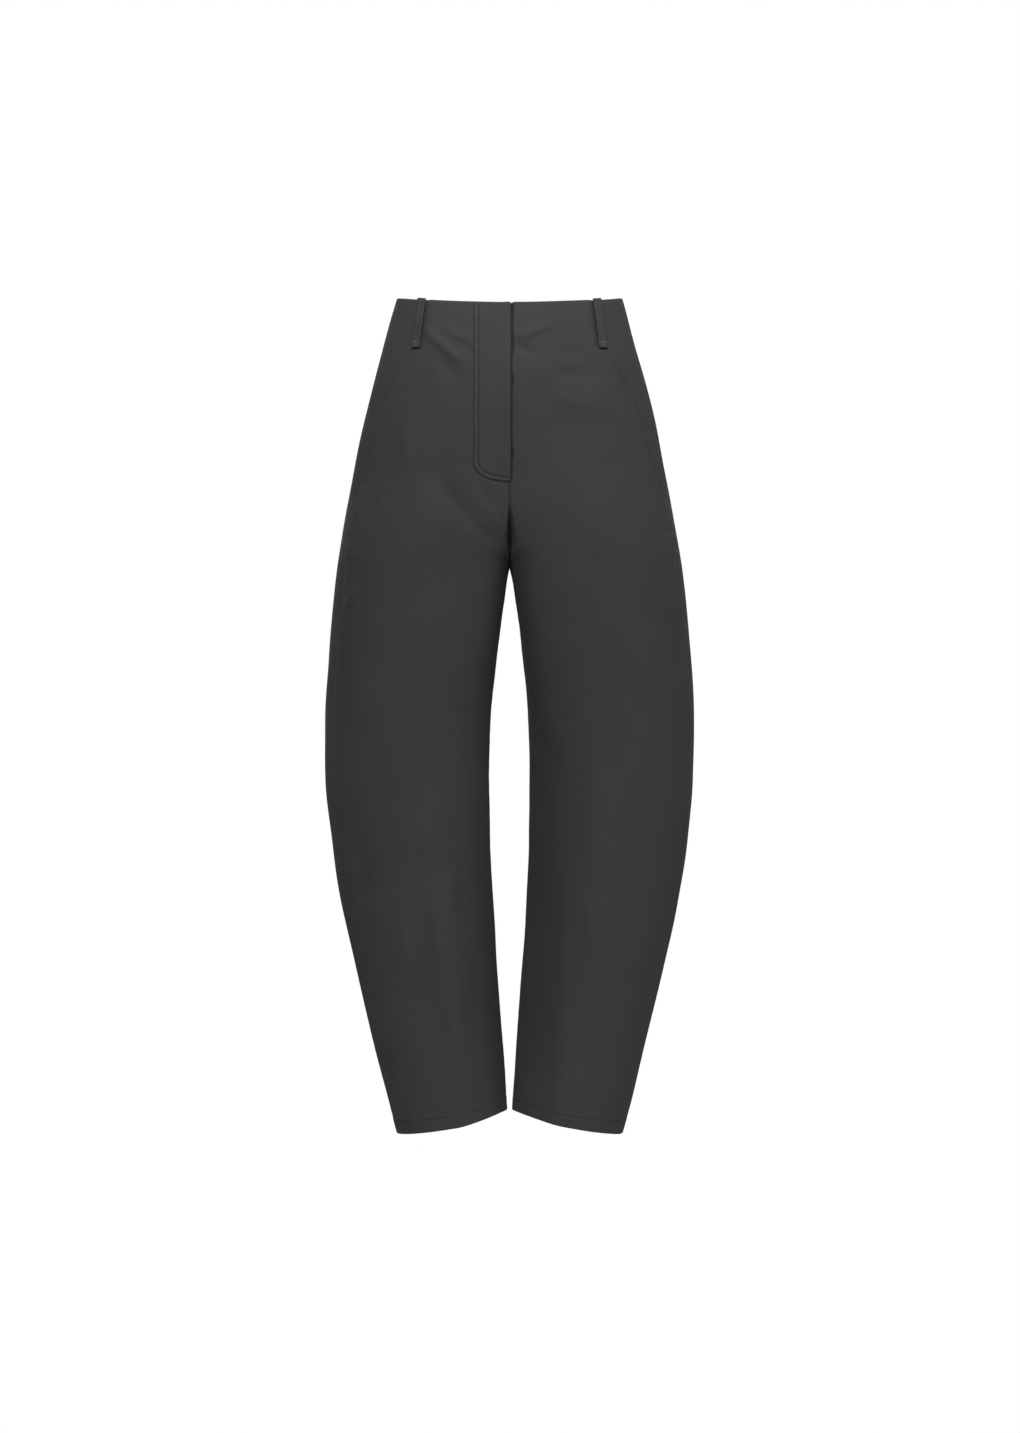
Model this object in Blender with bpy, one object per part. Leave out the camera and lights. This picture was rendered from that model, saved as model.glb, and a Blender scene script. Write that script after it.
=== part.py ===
"""Barrel leg trousers, filled out as they are when worn, with nobody in them.

Every cut piece is a thin closed wall on one surface, the skin of the trousers. The skin is a
stack of level rings, one leg each side: a ring is a rounded oval whose half width, depth and
place come from the SECTIONS table. Above the fork the oval reaches over the middle plane,
where it is cut off, so that the two sides meet in the centre seams and the crotch curve.

Frame: +Z up, the front faces -Y, the wearer's left is +X, and the origin is the middle of the
waist, where the wearer holds the trousers up. Sizes are in millimetres and the model in metres.
"""

import bpy
import bmesh
import numpy as np

MM = 0.001

# Cloth
WALL = 1.2
SEAM_GAP = 0.3
LAYER_GAP = 0.7
TURN_UP = 16.0
TURN_UP_WALL = 2.6

# Lengths down the trousers, from the waist
LENGTH = 1000.0
FORK = 323.0
POCKET_END = 248.0
WAIST_FADE = 150.0
HEM_FADE = 300.0

# The waist edge dips in front and rises behind, and the hem slants down to the outside
WAIST_SIDE_RISE = 3.7
WAIST_FRONT_DIP = 8.7
WAIST_FRONT_ROUND = 7.6
WAIST_BACK_RISE = 2.3
HEM_SLANT = 14.0

# A ring is an oval between a circle (2) and a rounded square (4)
OVAL = 2.1

# Each row is a ring: how far down it lies, its reach to the side, the reach of its inner edge as
# a share of that (-1 is a full oval over both legs, 0 touches the middle plane), its reach to the
# front and to the back, and how far behind the origin its side point lies.
SECTION_COLUMNS = ("down", "side", "inner", "front", "back", "middle")
SECTIONS = dict(zip(SECTION_COLUMNS, np.array([
    (-10.0, 134.8, -1.000, 95.0, 97.0, 0.0),
    (0.0, 137.9, -1.000, 97.0, 99.0, 0.0),
    (45.0, 150.6, -1.000, 104.0, 107.0, 1.0),
    (95.0, 164.8, -1.000, 111.0, 118.0, 3.0),
    (150.0, 178.2, -1.000, 115.0, 127.0, 5.0),
    (200.0, 188.4, -0.860, 117.0, 131.0, 6.0),
    (242.0, 196.4, -0.560, 117.0, 131.0, 5.0),
    (275.0, 202.4, -0.260, 116.0, 128.0, 3.0),
    (300.0, 206.6, -0.090, 114.5, 124.5, 2.0),
    (323.0, 210.1, 0.000, 112.5, 121.0, 1.0),
    (364.0, 214.8, 0.034, 109.0, 115.0, 0.0),
    (437.0, 220.9, 0.073, 103.0, 106.0, 0.0),
    (510.0, 224.5, 0.103, 97.0, 100.0, 0.0),
    (583.0, 223.9, 0.111, 92.0, 96.0, 1.0),
    (656.0, 217.0, 0.111, 87.0, 94.0, 3.0),
    (729.0, 206.2, 0.100, 81.0, 92.0, 5.0),
    (803.0, 189.7, 0.083, 75.0, 88.0, 7.0),
    (876.0, 172.5, 0.062, 69.0, 82.0, 8.0),
    (949.0, 154.9, 0.035, 63.0, 75.0, 8.0),
    (1020.0, 135.5, 0.012, 58.0, 69.0, 8.0),
]).T))

# The front of a ring has an oval of its own towards the middle plane. It is squarer beside the
# fork, where the thighs meet, and comes near to a straight slope from the knee down.
INNER_COLUMNS = ("down", "oval")
INNER = dict(zip(INNER_COLUMNS, np.array([
    (-10.0, 2.1),
    (190.0, 2.1),
    (260.0, 3.4),
    (323.0, 4.2),
    (400.0, 3.6),
    (480.0, 2.6),
    (560.0, 2.0),
    (640.0, 1.7),
    (700.0, 1.6),
    (860.0, 1.6),
    (960.0, 1.75),
    (1020.0, 1.85),
]).T))

# From the knee down the front of each leg is lopsided: its foremost line moves towards the middle
# plane by a share of the half width, more on the wearer's right, and outside that line the front
# is flatter. SHIN says how far this has set in at each level, from 0 to 1.
FOREMOST_SHIFT = {1: 0.10, -1: 0.32}
OUTER_OVAL = 2.4
SHIN_COLUMNS = ("down", "share")
SHIN = dict(zip(SHIN_COLUMNS, np.array([
    (400.0, 0.0),
    (520.0, 0.3),
    (620.0, 0.8),
    (700.0, 1.0),
    (860.0, 1.0),
    (960.0, 0.7),
    (1020.0, 0.5),
]).T))

# The side seam and the pocket mouth, as degrees that they lie in front of a ring's side point
SEAM_COLUMNS = ("down", "degrees")
SIDE_SEAM = dict(zip(SEAM_COLUMNS, np.array([
    (-10.0, 12.0),
    (100.0, 12.5),
    (170.0, 11.5),
    (212.0, 12.0),
    (248.0, 18.0),
    (290.0, 24.0),
    (330.0, 31.0),
    (380.0, 33.0),
    (430.0, 30.0),
    (510.0, 31.0),
    (650.0, 26.0),
    (800.0, 20.0),
    (1020.0, 14.0),
]).T))
POCKET_MOUTH = dict(zip(SEAM_COLUMNS, np.array([
    (-10.0, 39.0),
    (50.0, 40.5),
    (82.0, 37.3),
    (96.0, 34.2),
    (110.0, 30.7),
    (126.0, 28.4),
    (144.0, 27.0),
    (181.0, 25.0),
    (210.0, 22.6),
    (248.0, 18.3),
]).T))

# The largest folds. Each runs between two points of the front or back view, given as the distance
# from the middle plane and down from the waist. Its height is how far the cloth stands out, or
# sinks in where it is negative, and its width is how far its flank reaches.
FOLD_EDGE_SHARPNESS = 3.0
FOLD_COLUMNS = ("leg", "face", "x1", "down1", "x2", "down2", "width", "height")
FOLDS = dict(zip(FOLD_COLUMNS, np.array([
    (-1, 1, 100, 205, 38, 285, 17, -3.0),
    (-1, 1, 124, 120, 128, 230, 20, 1.8),
    (-1, 1, 123, 540, 124, 670, 18, 2.4),
    (-1, 1, 192, 590, 186, 735, 20, -2.8),
    (-1, 1, 46, 490, 45, 575, 16, -2.2),
    (-1, 1, 44, 560, 50, 655, 16, 1.8),
    (-1, 1, 134, 700, 128, 820, 15, 1.8),
    (-1, 1, 95, 690, 78, 880, 17, 3.0),
    (-1, 1, 42, 800, 38, 950, 16, -2.0),
    (1, 1, 43, 72, 135, 122, 17, 2.4),
    (1, 1, 54, 65, 109, 95, 12, -2.2),
    (1, 1, 112, 560, 108, 720, 20, 2.6),
    (1, 1, 46, 520, 48, 660, 16, -2.0),
    (1, 1, 104, 700, 88, 900, 18, 3.0),
    (-1, -1, 40, 345, 150, 300, 22, -3.6),
    (1, -1, 46, 350, 140, 292, 22, -3.2),
    (-1, -1, 60, 560, 190, 535, 20, -3.4),
    (1, -1, 50, 545, 180, 570, 20, -3.8),
    (-1, -1, 120, 620, 100, 860, 22, 3.2),
    (1, -1, 108, 600, 92, 830, 22, 3.0),
    (-1, -1, 60, 700, 52, 930, 20, -3.2),
    (1, -1, 150, 690, 116, 900, 20, -3.0),
]).T))

# Fly, zip, pockets and belt loops
FLY_WIDTH = 41.0
FLY_SIDE_LENGTH = 196.0
FLY_END = 222.0
SHIELD_WIDTH = 35.0
SHIELD_PAST_MIDDLE = 8.0
SHIELD_PAST_ZIP = 8.0
TOP_MARGIN = 1.0
FLY_EDGE = 0.5
FACING_WALL = 1.0
ZIP_MIDDLE = -9.0
ZIP_TAPE_WIDTH = 26.0
ZIP_CHAIN_WIDTH = 5.0
ZIP_SLIDER_WIDTH = 8.0
ZIP_TOP = 14.0
ZIP_END = 190.0
SLIDER_TOP = 17.0
SLIDER_END = 27.0
ZIP_WALL = 1.0
ZIP_CHAIN_RISE = 0.5
ZIP_SLIDER_RISE = 0.9
ZIP_STEP = 0.4
ZIP_SUNK = WALL + LAYER_GAP + FACING_WALL + LAYER_GAP + ZIP_SLIDER_RISE
BAG_WALL = 1.4
BAG_TOP = 62.0
BAG_END = 300.0
BAG_ROUNDING = 42.0
BAG_FIRST_COLUMN = 3
LOOP_WIDTH = 13.0
LOOP_LENGTH = 63.0
LOOP_WALL = 1.8
LOOP_ARCH = 1.6
LOOP_END_WALL = 3.2
LOOP_END = 9.0
LOOP_STEP = 0.6
LOOP_ABOVE_WAIST = 1.0
LOOP_GAP = 0.4
FRONT_LOOP_TOP_X = 104.5
FRONT_LOOP_END_X = 112.0
BACK_LOOP_X = 82.0

CLOTH_COLOUR = (0.038, 0.037, 0.041)
LINING_COLOUR = (0.050, 0.049, 0.052)
ZIP_COLOUR = (0.030, 0.030, 0.032)

FRONT_COLUMNS = 12
BACK_COLUMNS = 16


def smooth(rows, values, wanted):
    """A curve through the rows that never overshoots: cubic pieces, each with the harmonic mean of
    the slopes beside a row as the slope at that row, and flat where those slopes differ in sign."""
    steps = np.diff(rows)
    slopes = np.diff(values) / steps
    product = slopes[:-1] * slopes[1:]
    total = np.where(product > 0, slopes[:-1] + slopes[1:], 1.0)
    between = np.where(product > 0, 2 * product / total, 0.0)
    tangents = np.concatenate([slopes[:1], between, slopes[-1:]])
    piece = np.clip(np.searchsorted(rows, wanted, side="right") - 1, 0, len(steps) - 1)
    step = steps[piece]
    t = (wanted - rows[piece]) / step
    start = values[piece] * (2 * t**3 - 3 * t**2 + 1) + tangents[piece] * step * (t**3 - 2 * t**2 + t)
    end = values[piece + 1] * (3 * t**2 - 2 * t**3) + tangents[piece + 1] * step * (t**3 - t**2)
    return start + end


def section(down, column):
    return smooth(SECTIONS["down"], SECTIONS[column], down)


def ring_oval(down):
    """Middle and half width, across the trousers, of the oval at this level."""
    reach = section(down, "side")
    inner = reach * section(down, "inner")
    return (reach + inner) / 2, (reach - inner) / 2


def down_of(angle, ring):
    """How far down a point of a ring lies: the top rings follow the dipped waist edge, and the
    lowest ones follow the slanted hem."""
    to_front = np.clip(np.sin(angle), 0, 1)
    to_back = np.clip(-np.sin(angle), 0, 1)
    waist = (WAIST_SIDE_RISE - WAIST_FRONT_DIP * to_front - WAIST_FRONT_ROUND * to_front**2
             + WAIST_BACK_RISE * to_back)
    near_waist = np.clip(1 - ring / WAIST_FADE, 0, None) ** 2
    near_hem = np.clip((ring - LENGTH + HEM_FADE) / HEM_FADE, 0, None) ** 2
    return ring - waist * near_waist - HEM_SLANT * np.cos(angle) * near_hem


def inner_oval(down):
    """The oval of a ring's front towards the middle plane."""
    return smooth(INNER["down"], INNER["oval"], down)


def bare_skin(side, angle, down):
    """The skin of one side without folds, as it is on the wearer's left. The angle goes round the
    leg from its inner point (0) over the front (90 degrees), the side (180) and the back (270)."""
    middle, half = ring_oval(down)
    shin = smooth(SHIN["down"], SHIN["share"], np.clip(down, *SHIN["down"][[0, -1]]))
    foremost = middle - half * FOREMOST_SHIFT[side] * shin
    cosine, sine = np.cos(angle), np.sin(angle)
    front_oval = np.where(cosine > 0, inner_oval(down), OVAL + (OUTER_OVAL - OVAL) * shin)
    oval = np.where(sine > 0, front_oval, OVAL)
    reach = (np.abs(cosine) ** oval + np.abs(sine) ** oval) ** (-1 / oval)
    width = np.where(cosine > 0, foremost - (middle - half), middle + half - foremost)
    side_y = section(down, "middle")
    depth = np.where(sine > 0, section(down, "front") + side_y, section(down, "back") - side_y)
    return np.stack([foremost - width * cosine * reach, side_y - depth * sine * reach, -down], axis=-1)


def fold_height(side, x, down, sine):
    """How far the folds move the cloth: along its line each fold swells and fades like half a
    sine wave, and across it falls off like a bell."""
    height = np.zeros_like(x)
    for i in range(len(FOLDS["leg"])):
        fold = {name: column[i] for name, column in FOLDS.items()}
        if fold["leg"] != side:
            continue
        run = np.array([fold["x2"] - fold["x1"], fold["down2"] - fold["down1"]])
        length = np.hypot(*run)
        dx, dz = x - fold["x1"], down - fold["down1"]
        along = (dx * run[0] + dz * run[1]) / length**2
        across = (dx * run[1] - dz * run[0]) / length
        swell = np.sin(np.pi * np.clip(along, 0, 1))
        shown = np.clip(fold["face"] * sine * FOLD_EDGE_SHARPNESS, 0, 1)
        height += fold["height"] * swell * shown * np.exp(-(across / fold["width"]) ** 2)
    return height


def skin(side, angle, ring):
    """Points and outward directions of the skin, for the wearer's left (1) or right (-1) side."""
    angle, ring = np.broadcast_arrays(angle, ring)
    down = down_of(angle, ring)
    points = bare_skin(side, angle, down)
    turn = bare_skin(side, angle + 1e-4, down) - bare_skin(side, angle - 1e-4, down)
    rise = bare_skin(side, angle, down - 0.1) - bare_skin(side, angle, down + 0.1)
    outward = np.cross(turn, rise)
    outward /= np.linalg.norm(outward, axis=-1, keepdims=True)
    points = points + outward * fold_height(side, points[..., 0], down, np.sin(angle))[..., None]
    mirror = np.array([side, 1, 1])
    return points * mirror, outward * mirror


def angle_at(x, down, face):
    """The angle at which a ring's front (1) or back (-1) passes a distance x from the middle. It
    holds down to the fork, where the foremost line is still in the middle of the ring."""
    middle, half = ring_oval(down)
    share = np.clip((middle - x) / half, -1, 1)
    oval = np.where((face > 0) & (share > 0), inner_oval(down), OVAL)
    depth = (1 - np.abs(share) ** oval) ** (1 / oval)
    return np.where(face > 0, np.arctan2(depth, share), 2 * np.pi - np.arctan2(depth, share))


def skin_at(x, ring, face):
    """Points and outward directions of the front (1) or back (-1), at signed distances x."""
    x, ring = np.broadcast_arrays(np.asarray(x, float), np.asarray(ring, float))
    angle = angle_at(np.abs(x), ring, face)
    for _ in range(3):
        angle = angle_at(np.abs(x), down_of(angle, ring), face)
    left = np.stack(skin(1, angle, ring))
    right = np.stack(skin(-1, angle, ring))
    return np.where(x[..., None] < 0, right, left)


def seam_angle(table, ring):
    """The angle of the side seam or the pocket mouth."""
    return np.pi - np.radians(smooth(table["down"], table["degrees"], ring))


def panel_rings():
    """Rings of a panel: closer at the fork, where the crotch curve turns, and at the hem's step."""
    trunk = np.linspace(0, POCKET_END, 9)
    fork = FORK - (FORK - POCKET_END) * (np.arange(4, -1, -1) / 5) ** 2
    leg = np.linspace(FORK, LENGTH - TURN_UP - 1, 17)[1:]
    return np.concatenate([trunk, fork, leg, [LENGTH - TURN_UP, LENGTH]])


RINGS = panel_rings()
TRUNK_RINGS = RINGS[RINGS <= POCKET_END]


def front_angles(rings):
    """Angles of the front panel's columns, from the centre seam or inseam to its outer edge, which
    is the pocket mouth above POCKET_END and the side seam below it."""
    inner = angle_at(0, np.minimum(rings, FORK), 1)
    mouth = seam_angle(POCKET_MOUTH, np.minimum(rings, POCKET_END))
    outer = np.where(rings <= POCKET_END, mouth, seam_angle(SIDE_SEAM, rings))
    share = np.linspace(0, 1, FRONT_COLUMNS)
    return inner[:, None] + (outer - inner)[:, None] * share


def back_angles(rings):
    """Angles of the back panel's columns, from the side seam to the centre seam or inseam."""
    inner = angle_at(0, np.minimum(rings, FORK), -1)
    outer = seam_angle(SIDE_SEAM, rings)
    share = np.linspace(0, 1, BACK_COLUMNS)
    return outer[:, None] + (inner - outer)[:, None] * share


def new_object(name, mesh, colour, roughness):
    """An object with its own finish, carried by the empty at the waist."""
    finish = bpy.data.materials.new(name + "_finish")
    finish.use_nodes = True
    shader = finish.node_tree.nodes["Principled BSDF"]
    shader.inputs["Base Color"].default_value = (*colour, 1)
    shader.inputs["Roughness"].default_value = roughness
    shader.inputs["Metallic"].default_value = 0
    mesh.materials.append(finish)
    thing = bpy.data.objects.new(name, mesh)
    bpy.context.scene.collection.objects.link(thing)
    thing.parent = WAIST
    return thing


def wall_object(name, outer, inner, colour=CLOTH_COLOUR, roughness=0.9):
    """A closed wall between two grids of points, in millimetres, with the same rows and columns."""
    rows, columns = outer.shape[:2]
    mesh = bpy.data.meshes.new(name)
    build = bmesh.new()
    faces = []
    for grid in (outer, inner):
        corners = [build.verts.new(point) for point in grid.reshape(-1, 3) * MM]
        faces.append([corners[row * columns:(row + 1) * columns] for row in range(rows)])
    out, back = faces
    for row in range(rows - 1):
        for column in range(columns - 1):
            for grid in faces:
                build.faces.new((grid[row][column], grid[row + 1][column],
                                 grid[row + 1][column + 1], grid[row][column + 1]))
    for row in range(rows - 1):
        for column in (0, columns - 1):
            build.faces.new((out[row][column], out[row + 1][column],
                             back[row + 1][column], back[row][column]))
    for column in range(columns - 1):
        for row in (0, rows - 1):
            build.faces.new((out[row][column], out[row][column + 1],
                             back[row][column + 1], back[row][column]))
    bmesh.ops.recalc_face_normals(build, faces=build.faces)
    build.to_mesh(mesh)
    build.free()
    mesh.shade_smooth()
    mesh.set_sharp_from_angle(angle=np.radians(35))
    return new_object(name, mesh, colour, roughness)


def part_at_seams(points, along, ends=(1, 1)):
    """Draws the first and last columns back from their seams by half the gap."""
    points = points.copy()
    points[:, 0] += along[:, 0] * ends[0] * SEAM_GAP / 2
    points[:, -1] -= along[:, -1] * ends[1] * SEAM_GAP / 2
    return points


def round_the_leg(side, angles, rings):
    """Unit directions round the leg, towards growing angles."""
    ahead = skin(side, angles + 1e-3, rings)[0]
    behind = skin(side, angles - 1e-3, rings)[0]
    return (ahead - behind) / np.linalg.norm(ahead - behind, axis=-1, keepdims=True)


def keep_to_side(points, side):
    """Holds points off the middle plane by half the seam gap."""
    points = points.copy()
    points[..., 0] = side * np.maximum(side * points[..., 0], SEAM_GAP / 2)
    return points


def panel(name, side, angles):
    """A front or back, from waist to hem, with its turned-up hem inside as a thicker wall."""
    rings = RINGS[:, None]
    points, outward = skin(side, angles, rings)
    points = part_at_seams(points, round_the_leg(side, angles, rings))
    thickness = np.where(rings >= LENGTH - TURN_UP, TURN_UP_WALL, WALL)
    outer = keep_to_side(points, side)
    inner = keep_to_side(points - outward * thickness[..., None], side)
    return wall_object(name, outer, inner)


def hip_piece(name, side):
    """The piece that shows behind the pocket mouth. It lies under the front for one column and
    comes up to the level of the back at the side seam."""
    rings = TRUNK_RINGS[:, None]
    front = front_angles(TRUNK_RINGS)[:, -2:]
    seam = seam_angle(SIDE_SEAM, TRUNK_RINGS)
    share = np.array([1, 2, 3]) / 3
    beyond = front[:, 1:] + (seam[:, None] - front[:, 1:]) * share
    angles = np.concatenate([front, beyond], axis=1)
    points, outward = skin(side, angles, rings)
    points = part_at_seams(points, round_the_leg(side, angles, rings), ends=(0, 1))
    sunk = (WALL + LAYER_GAP) * np.array([1, 1, 0.8, 0.3, 0])[None, :, None]
    return wall_object(name, points - outward * sunk, points - outward * (sunk + WALL))


def pocket_bag(name, side):
    """A flat bag inside the front, from the pocket mouth towards the middle, round at its foot."""
    columns = np.arange(BAG_FIRST_COLUMN, FRONT_COLUMNS)
    across = np.linspace(-1, 1, len(columns))
    foot = BAG_END - BAG_ROUNDING * across**4
    rings = BAG_TOP + (foot - BAG_TOP) * np.linspace(0, 1, 9)[:, None]
    table = front_angles(rings.ravel()).reshape(*rings.shape, FRONT_COLUMNS)
    angles = np.take_along_axis(table, columns[None, :, None], axis=2)[..., 0]
    points, outward = skin(side, angles, rings)
    sunk = 2 * WALL + 2 * LAYER_GAP
    return wall_object(name, points - outward * sunk, points - outward * (sunk + BAG_WALL), LINING_COLOUR)


def fly_facing():
    """The facing behind the lapped edge of the wearer's right front, curved at its foot."""
    x = -np.linspace(FLY_EDGE, FLY_WIDTH, 6)
    foot = FLY_SIDE_LENGTH + (FLY_END - FLY_SIDE_LENGTH) * np.sqrt(1 - (x / FLY_WIDTH) ** 2)
    rings = TOP_MARGIN + (foot - TOP_MARGIN) * np.linspace(0, 1, 9)[:, None]
    points, outward = skin_at(x, rings, 1)
    sunk = WALL + LAYER_GAP
    return wall_object("fly_facing", points - outward * sunk, points - outward * (sunk + FACING_WALL))


def fly_shield():
    """The underlap behind the zip, on the wearer's left front."""
    x = np.linspace(-SHIELD_WIDTH, SHIELD_PAST_MIDDLE, 6)
    rings = np.linspace(TOP_MARGIN, ZIP_END + SHIELD_PAST_ZIP, 9)[:, None]
    points, outward = skin_at(x, rings, 1)
    sunk = ZIP_SUNK + ZIP_WALL + ZIP_CHAIN_RISE + LAYER_GAP
    return wall_object("fly_shield", points - outward * sunk, points - outward * (sunk + WALL))


def zip_closure():
    """The closed zip: tape, chain and, at its top, the slider, which the fly hides."""
    chain, slider = ZIP_CHAIN_WIDTH / 2, ZIP_SLIDER_WIDTH / 2
    tape = ZIP_TAPE_WIDTH / 2
    steps = np.array([-tape, -slider - ZIP_STEP, -slider, -chain, chain, slider, slider + ZIP_STEP, tape])
    rings = np.concatenate([[ZIP_TOP, SLIDER_TOP - ZIP_STEP, SLIDER_TOP, SLIDER_END, SLIDER_END + ZIP_STEP],
                            np.linspace(SLIDER_END, ZIP_END, 7)[1:]])
    points, outward = skin_at(ZIP_MIDDLE + steps[None, :], rings[:, None], 1)
    on_slider = (rings >= SLIDER_TOP) & (rings <= SLIDER_END)
    rise = np.where(np.abs(steps) <= chain, ZIP_CHAIN_RISE, 0)[None, :] * np.ones((len(rings), 1))
    rise[on_slider] = np.where(np.abs(steps) <= slider, ZIP_SLIDER_RISE, 0)
    bump = np.minimum(rise, ZIP_CHAIN_RISE)
    outer = points - outward * (ZIP_SUNK - rise)[..., None]
    inner = points - outward * (ZIP_SUNK + ZIP_WALL + bump)[..., None]
    return wall_object("zip", outer, inner, ZIP_COLOUR, 0.6)


def belt_loop(name, x_top, x_end, face):
    """A folded strip on the waist, arched off the panel and thick where its foot is folded under."""
    foot = LOOP_LENGTH - LOOP_END
    ring = np.concatenate([np.linspace(-LOOP_ABOVE_WAIST, foot - LOOP_STEP, 8), [foot, LOOP_LENGTH]])
    share = ring / LOOP_LENGTH
    middle = x_top + (x_end - x_top) * share
    facing = np.abs(skin_at(middle, ring, face)[1][:, 1])
    x = middle[:, None] + LOOP_WIDTH / 2 * facing[:, None] * np.array([-1, 0, 1])
    points, outward = skin_at(x, ring[:, None], face)
    arch = LOOP_ARCH * np.sin(np.pi * np.clip(share, 0, 1)) ** 0.5 * (ring < foot)
    wall = np.where(ring >= foot, LOOP_END_WALL, LOOP_WALL)
    under = (LOOP_GAP + arch)[:, None, None]
    return wall_object(name, points + outward * (under + wall[:, None, None]), points + outward * under)


for leftover in list(bpy.data.objects):
    bpy.data.objects.remove(leftover, do_unlink=True)

WAIST = bpy.data.objects.new("waist", None)
bpy.context.scene.collection.objects.link(WAIST)

SIDES = {"left": 1, "right": -1}
for word, side in SIDES.items():
    panel("front_" + word, side, front_angles(RINGS))
    panel("back_" + word, side, back_angles(RINGS))
    hip_piece("hip_piece_" + word, side)
    pocket_bag("pocket_bag_" + word, side)
    belt_loop("belt_loop_front_" + word, side * FRONT_LOOP_TOP_X, side * FRONT_LOOP_END_X, 1)
    belt_loop("belt_loop_back_" + word, side * BACK_LOOP_X, side * BACK_LOOP_X, -1)
belt_loop("belt_loop_centre", 0.0, 0.0, -1)
fly_facing()
fly_shield()
zip_closure()
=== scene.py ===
# %% [markdown]
# # Barrel leg trousers
#
# This lesson dresses a pair of charcoal cotton trousers that stand filled out, as they do when
# worn, with nobody in them. The solids of the pieces come first, as a fixed frame. Every piece of
# cloth is then made again as a fine thin shell on the same skin, with its creases, seams, turned
# edges and stitches. Lengths are in millimetres here, and the meshes in metres.

import bpy
import numpy as np
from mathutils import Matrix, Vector


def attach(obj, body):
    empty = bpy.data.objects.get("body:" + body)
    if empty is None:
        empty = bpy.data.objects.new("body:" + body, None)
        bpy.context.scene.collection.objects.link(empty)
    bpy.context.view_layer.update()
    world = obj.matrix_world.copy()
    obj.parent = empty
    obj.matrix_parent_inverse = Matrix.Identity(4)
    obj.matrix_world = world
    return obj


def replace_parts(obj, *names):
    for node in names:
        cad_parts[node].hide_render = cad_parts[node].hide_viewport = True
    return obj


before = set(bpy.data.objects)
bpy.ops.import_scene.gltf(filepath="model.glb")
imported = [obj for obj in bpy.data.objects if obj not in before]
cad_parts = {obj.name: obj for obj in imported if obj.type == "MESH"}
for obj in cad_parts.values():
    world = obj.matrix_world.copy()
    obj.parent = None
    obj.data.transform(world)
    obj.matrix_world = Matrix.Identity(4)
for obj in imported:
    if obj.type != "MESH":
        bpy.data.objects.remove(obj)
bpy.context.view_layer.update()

MM = 0.001

# %% [markdown]
# ## The camera
#
# The photograph looks straight at the front from about four metres, level with a point between
# the thighs. A long lens does the same here. It comes first, because everything else is judged
# through it.

# %% Camera
CAMERA_DISTANCE = 4000.0
CAMERA_ACROSS = 0.5
CAMERA_HEIGHT = -506.0
SENSOR = 36.0
LENS = 82.4

camera_data = bpy.data.cameras.new("camera")
camera_data.sensor_width = SENSOR
camera_data.lens = LENS
camera = bpy.data.objects.new("camera", camera_data)
camera.location = Vector((CAMERA_ACROSS, -CAMERA_DISTANCE, CAMERA_HEIGHT)) * MM
camera.rotation_euler = (np.pi / 2, 0, 0)
bpy.context.scene.collection.objects.link(camera)
bpy.context.scene.camera = camera
print("camera at", tuple(round(value, 3) for value in camera.location))

# %% [markdown]
# ## The skin
#
# A tailor's pattern is flat, but worn trousers are a stack of level rings, one round each leg.
# Each ring is a rounded oval given by a row of a short table, and a smooth curve runs through the
# rows. Above the fork the oval reaches over the middle plane, where it is cut off, which gives
# the centre seams and the crotch curve. The solids of the frame lie on this same skin.

# %% Sizes of the skin
WALL = 1.2
LAYER_GAP = 0.7
LENGTH = 1000.0
FORK = 323.0
POCKET_END = 248.0
TURN_UP = 16.0
TURN_UP_WALL = 2.6
WAIST_FADE = 150.0
HEM_FADE = 300.0
WAIST_SIDE_RISE = 3.7
WAIST_FRONT_DIP = 8.7
WAIST_FRONT_ROUND = 7.6
WAIST_BACK_RISE = 2.3
HEM_SLANT = 14.0
OVAL = 2.1
OUTER_OVAL = 2.4
FOREMOST_SHIFT = {1: 0.10, -1: 0.32}


def table(columns, rows):
    """A table with named columns: each name gives the array of its column."""
    return dict(zip(columns, np.array(rows).T))


SECTIONS = table(("down", "side", "inner", "front", "back", "middle"), [
    (-10.0, 134.8, -1.000, 95.0, 97.0, 0.0),
    (0.0, 137.9, -1.000, 97.0, 99.0, 0.0),
    (45.0, 150.6, -1.000, 104.0, 107.0, 1.0),
    (95.0, 164.8, -1.000, 111.0, 118.0, 3.0),
    (150.0, 178.2, -1.000, 115.0, 127.0, 5.0),
    (200.0, 188.4, -0.860, 117.0, 131.0, 6.0),
    (242.0, 196.4, -0.560, 117.0, 131.0, 5.0),
    (275.0, 202.4, -0.260, 116.0, 128.0, 3.0),
    (300.0, 206.6, -0.090, 114.5, 124.5, 2.0),
    (323.0, 210.1, 0.000, 112.5, 121.0, 1.0),
    (364.0, 214.8, 0.034, 109.0, 115.0, 0.0),
    (437.0, 220.9, 0.073, 103.0, 106.0, 0.0),
    (510.0, 224.5, 0.103, 97.0, 100.0, 0.0),
    (583.0, 223.9, 0.111, 92.0, 96.0, 1.0),
    (656.0, 217.0, 0.111, 87.0, 94.0, 3.0),
    (729.0, 206.2, 0.100, 81.0, 92.0, 5.0),
    (803.0, 189.7, 0.083, 75.0, 88.0, 7.0),
    (876.0, 172.5, 0.062, 69.0, 82.0, 8.0),
    (949.0, 154.9, 0.035, 63.0, 75.0, 8.0),
    (1020.0, 135.5, 0.012, 58.0, 69.0, 8.0),
])
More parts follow.
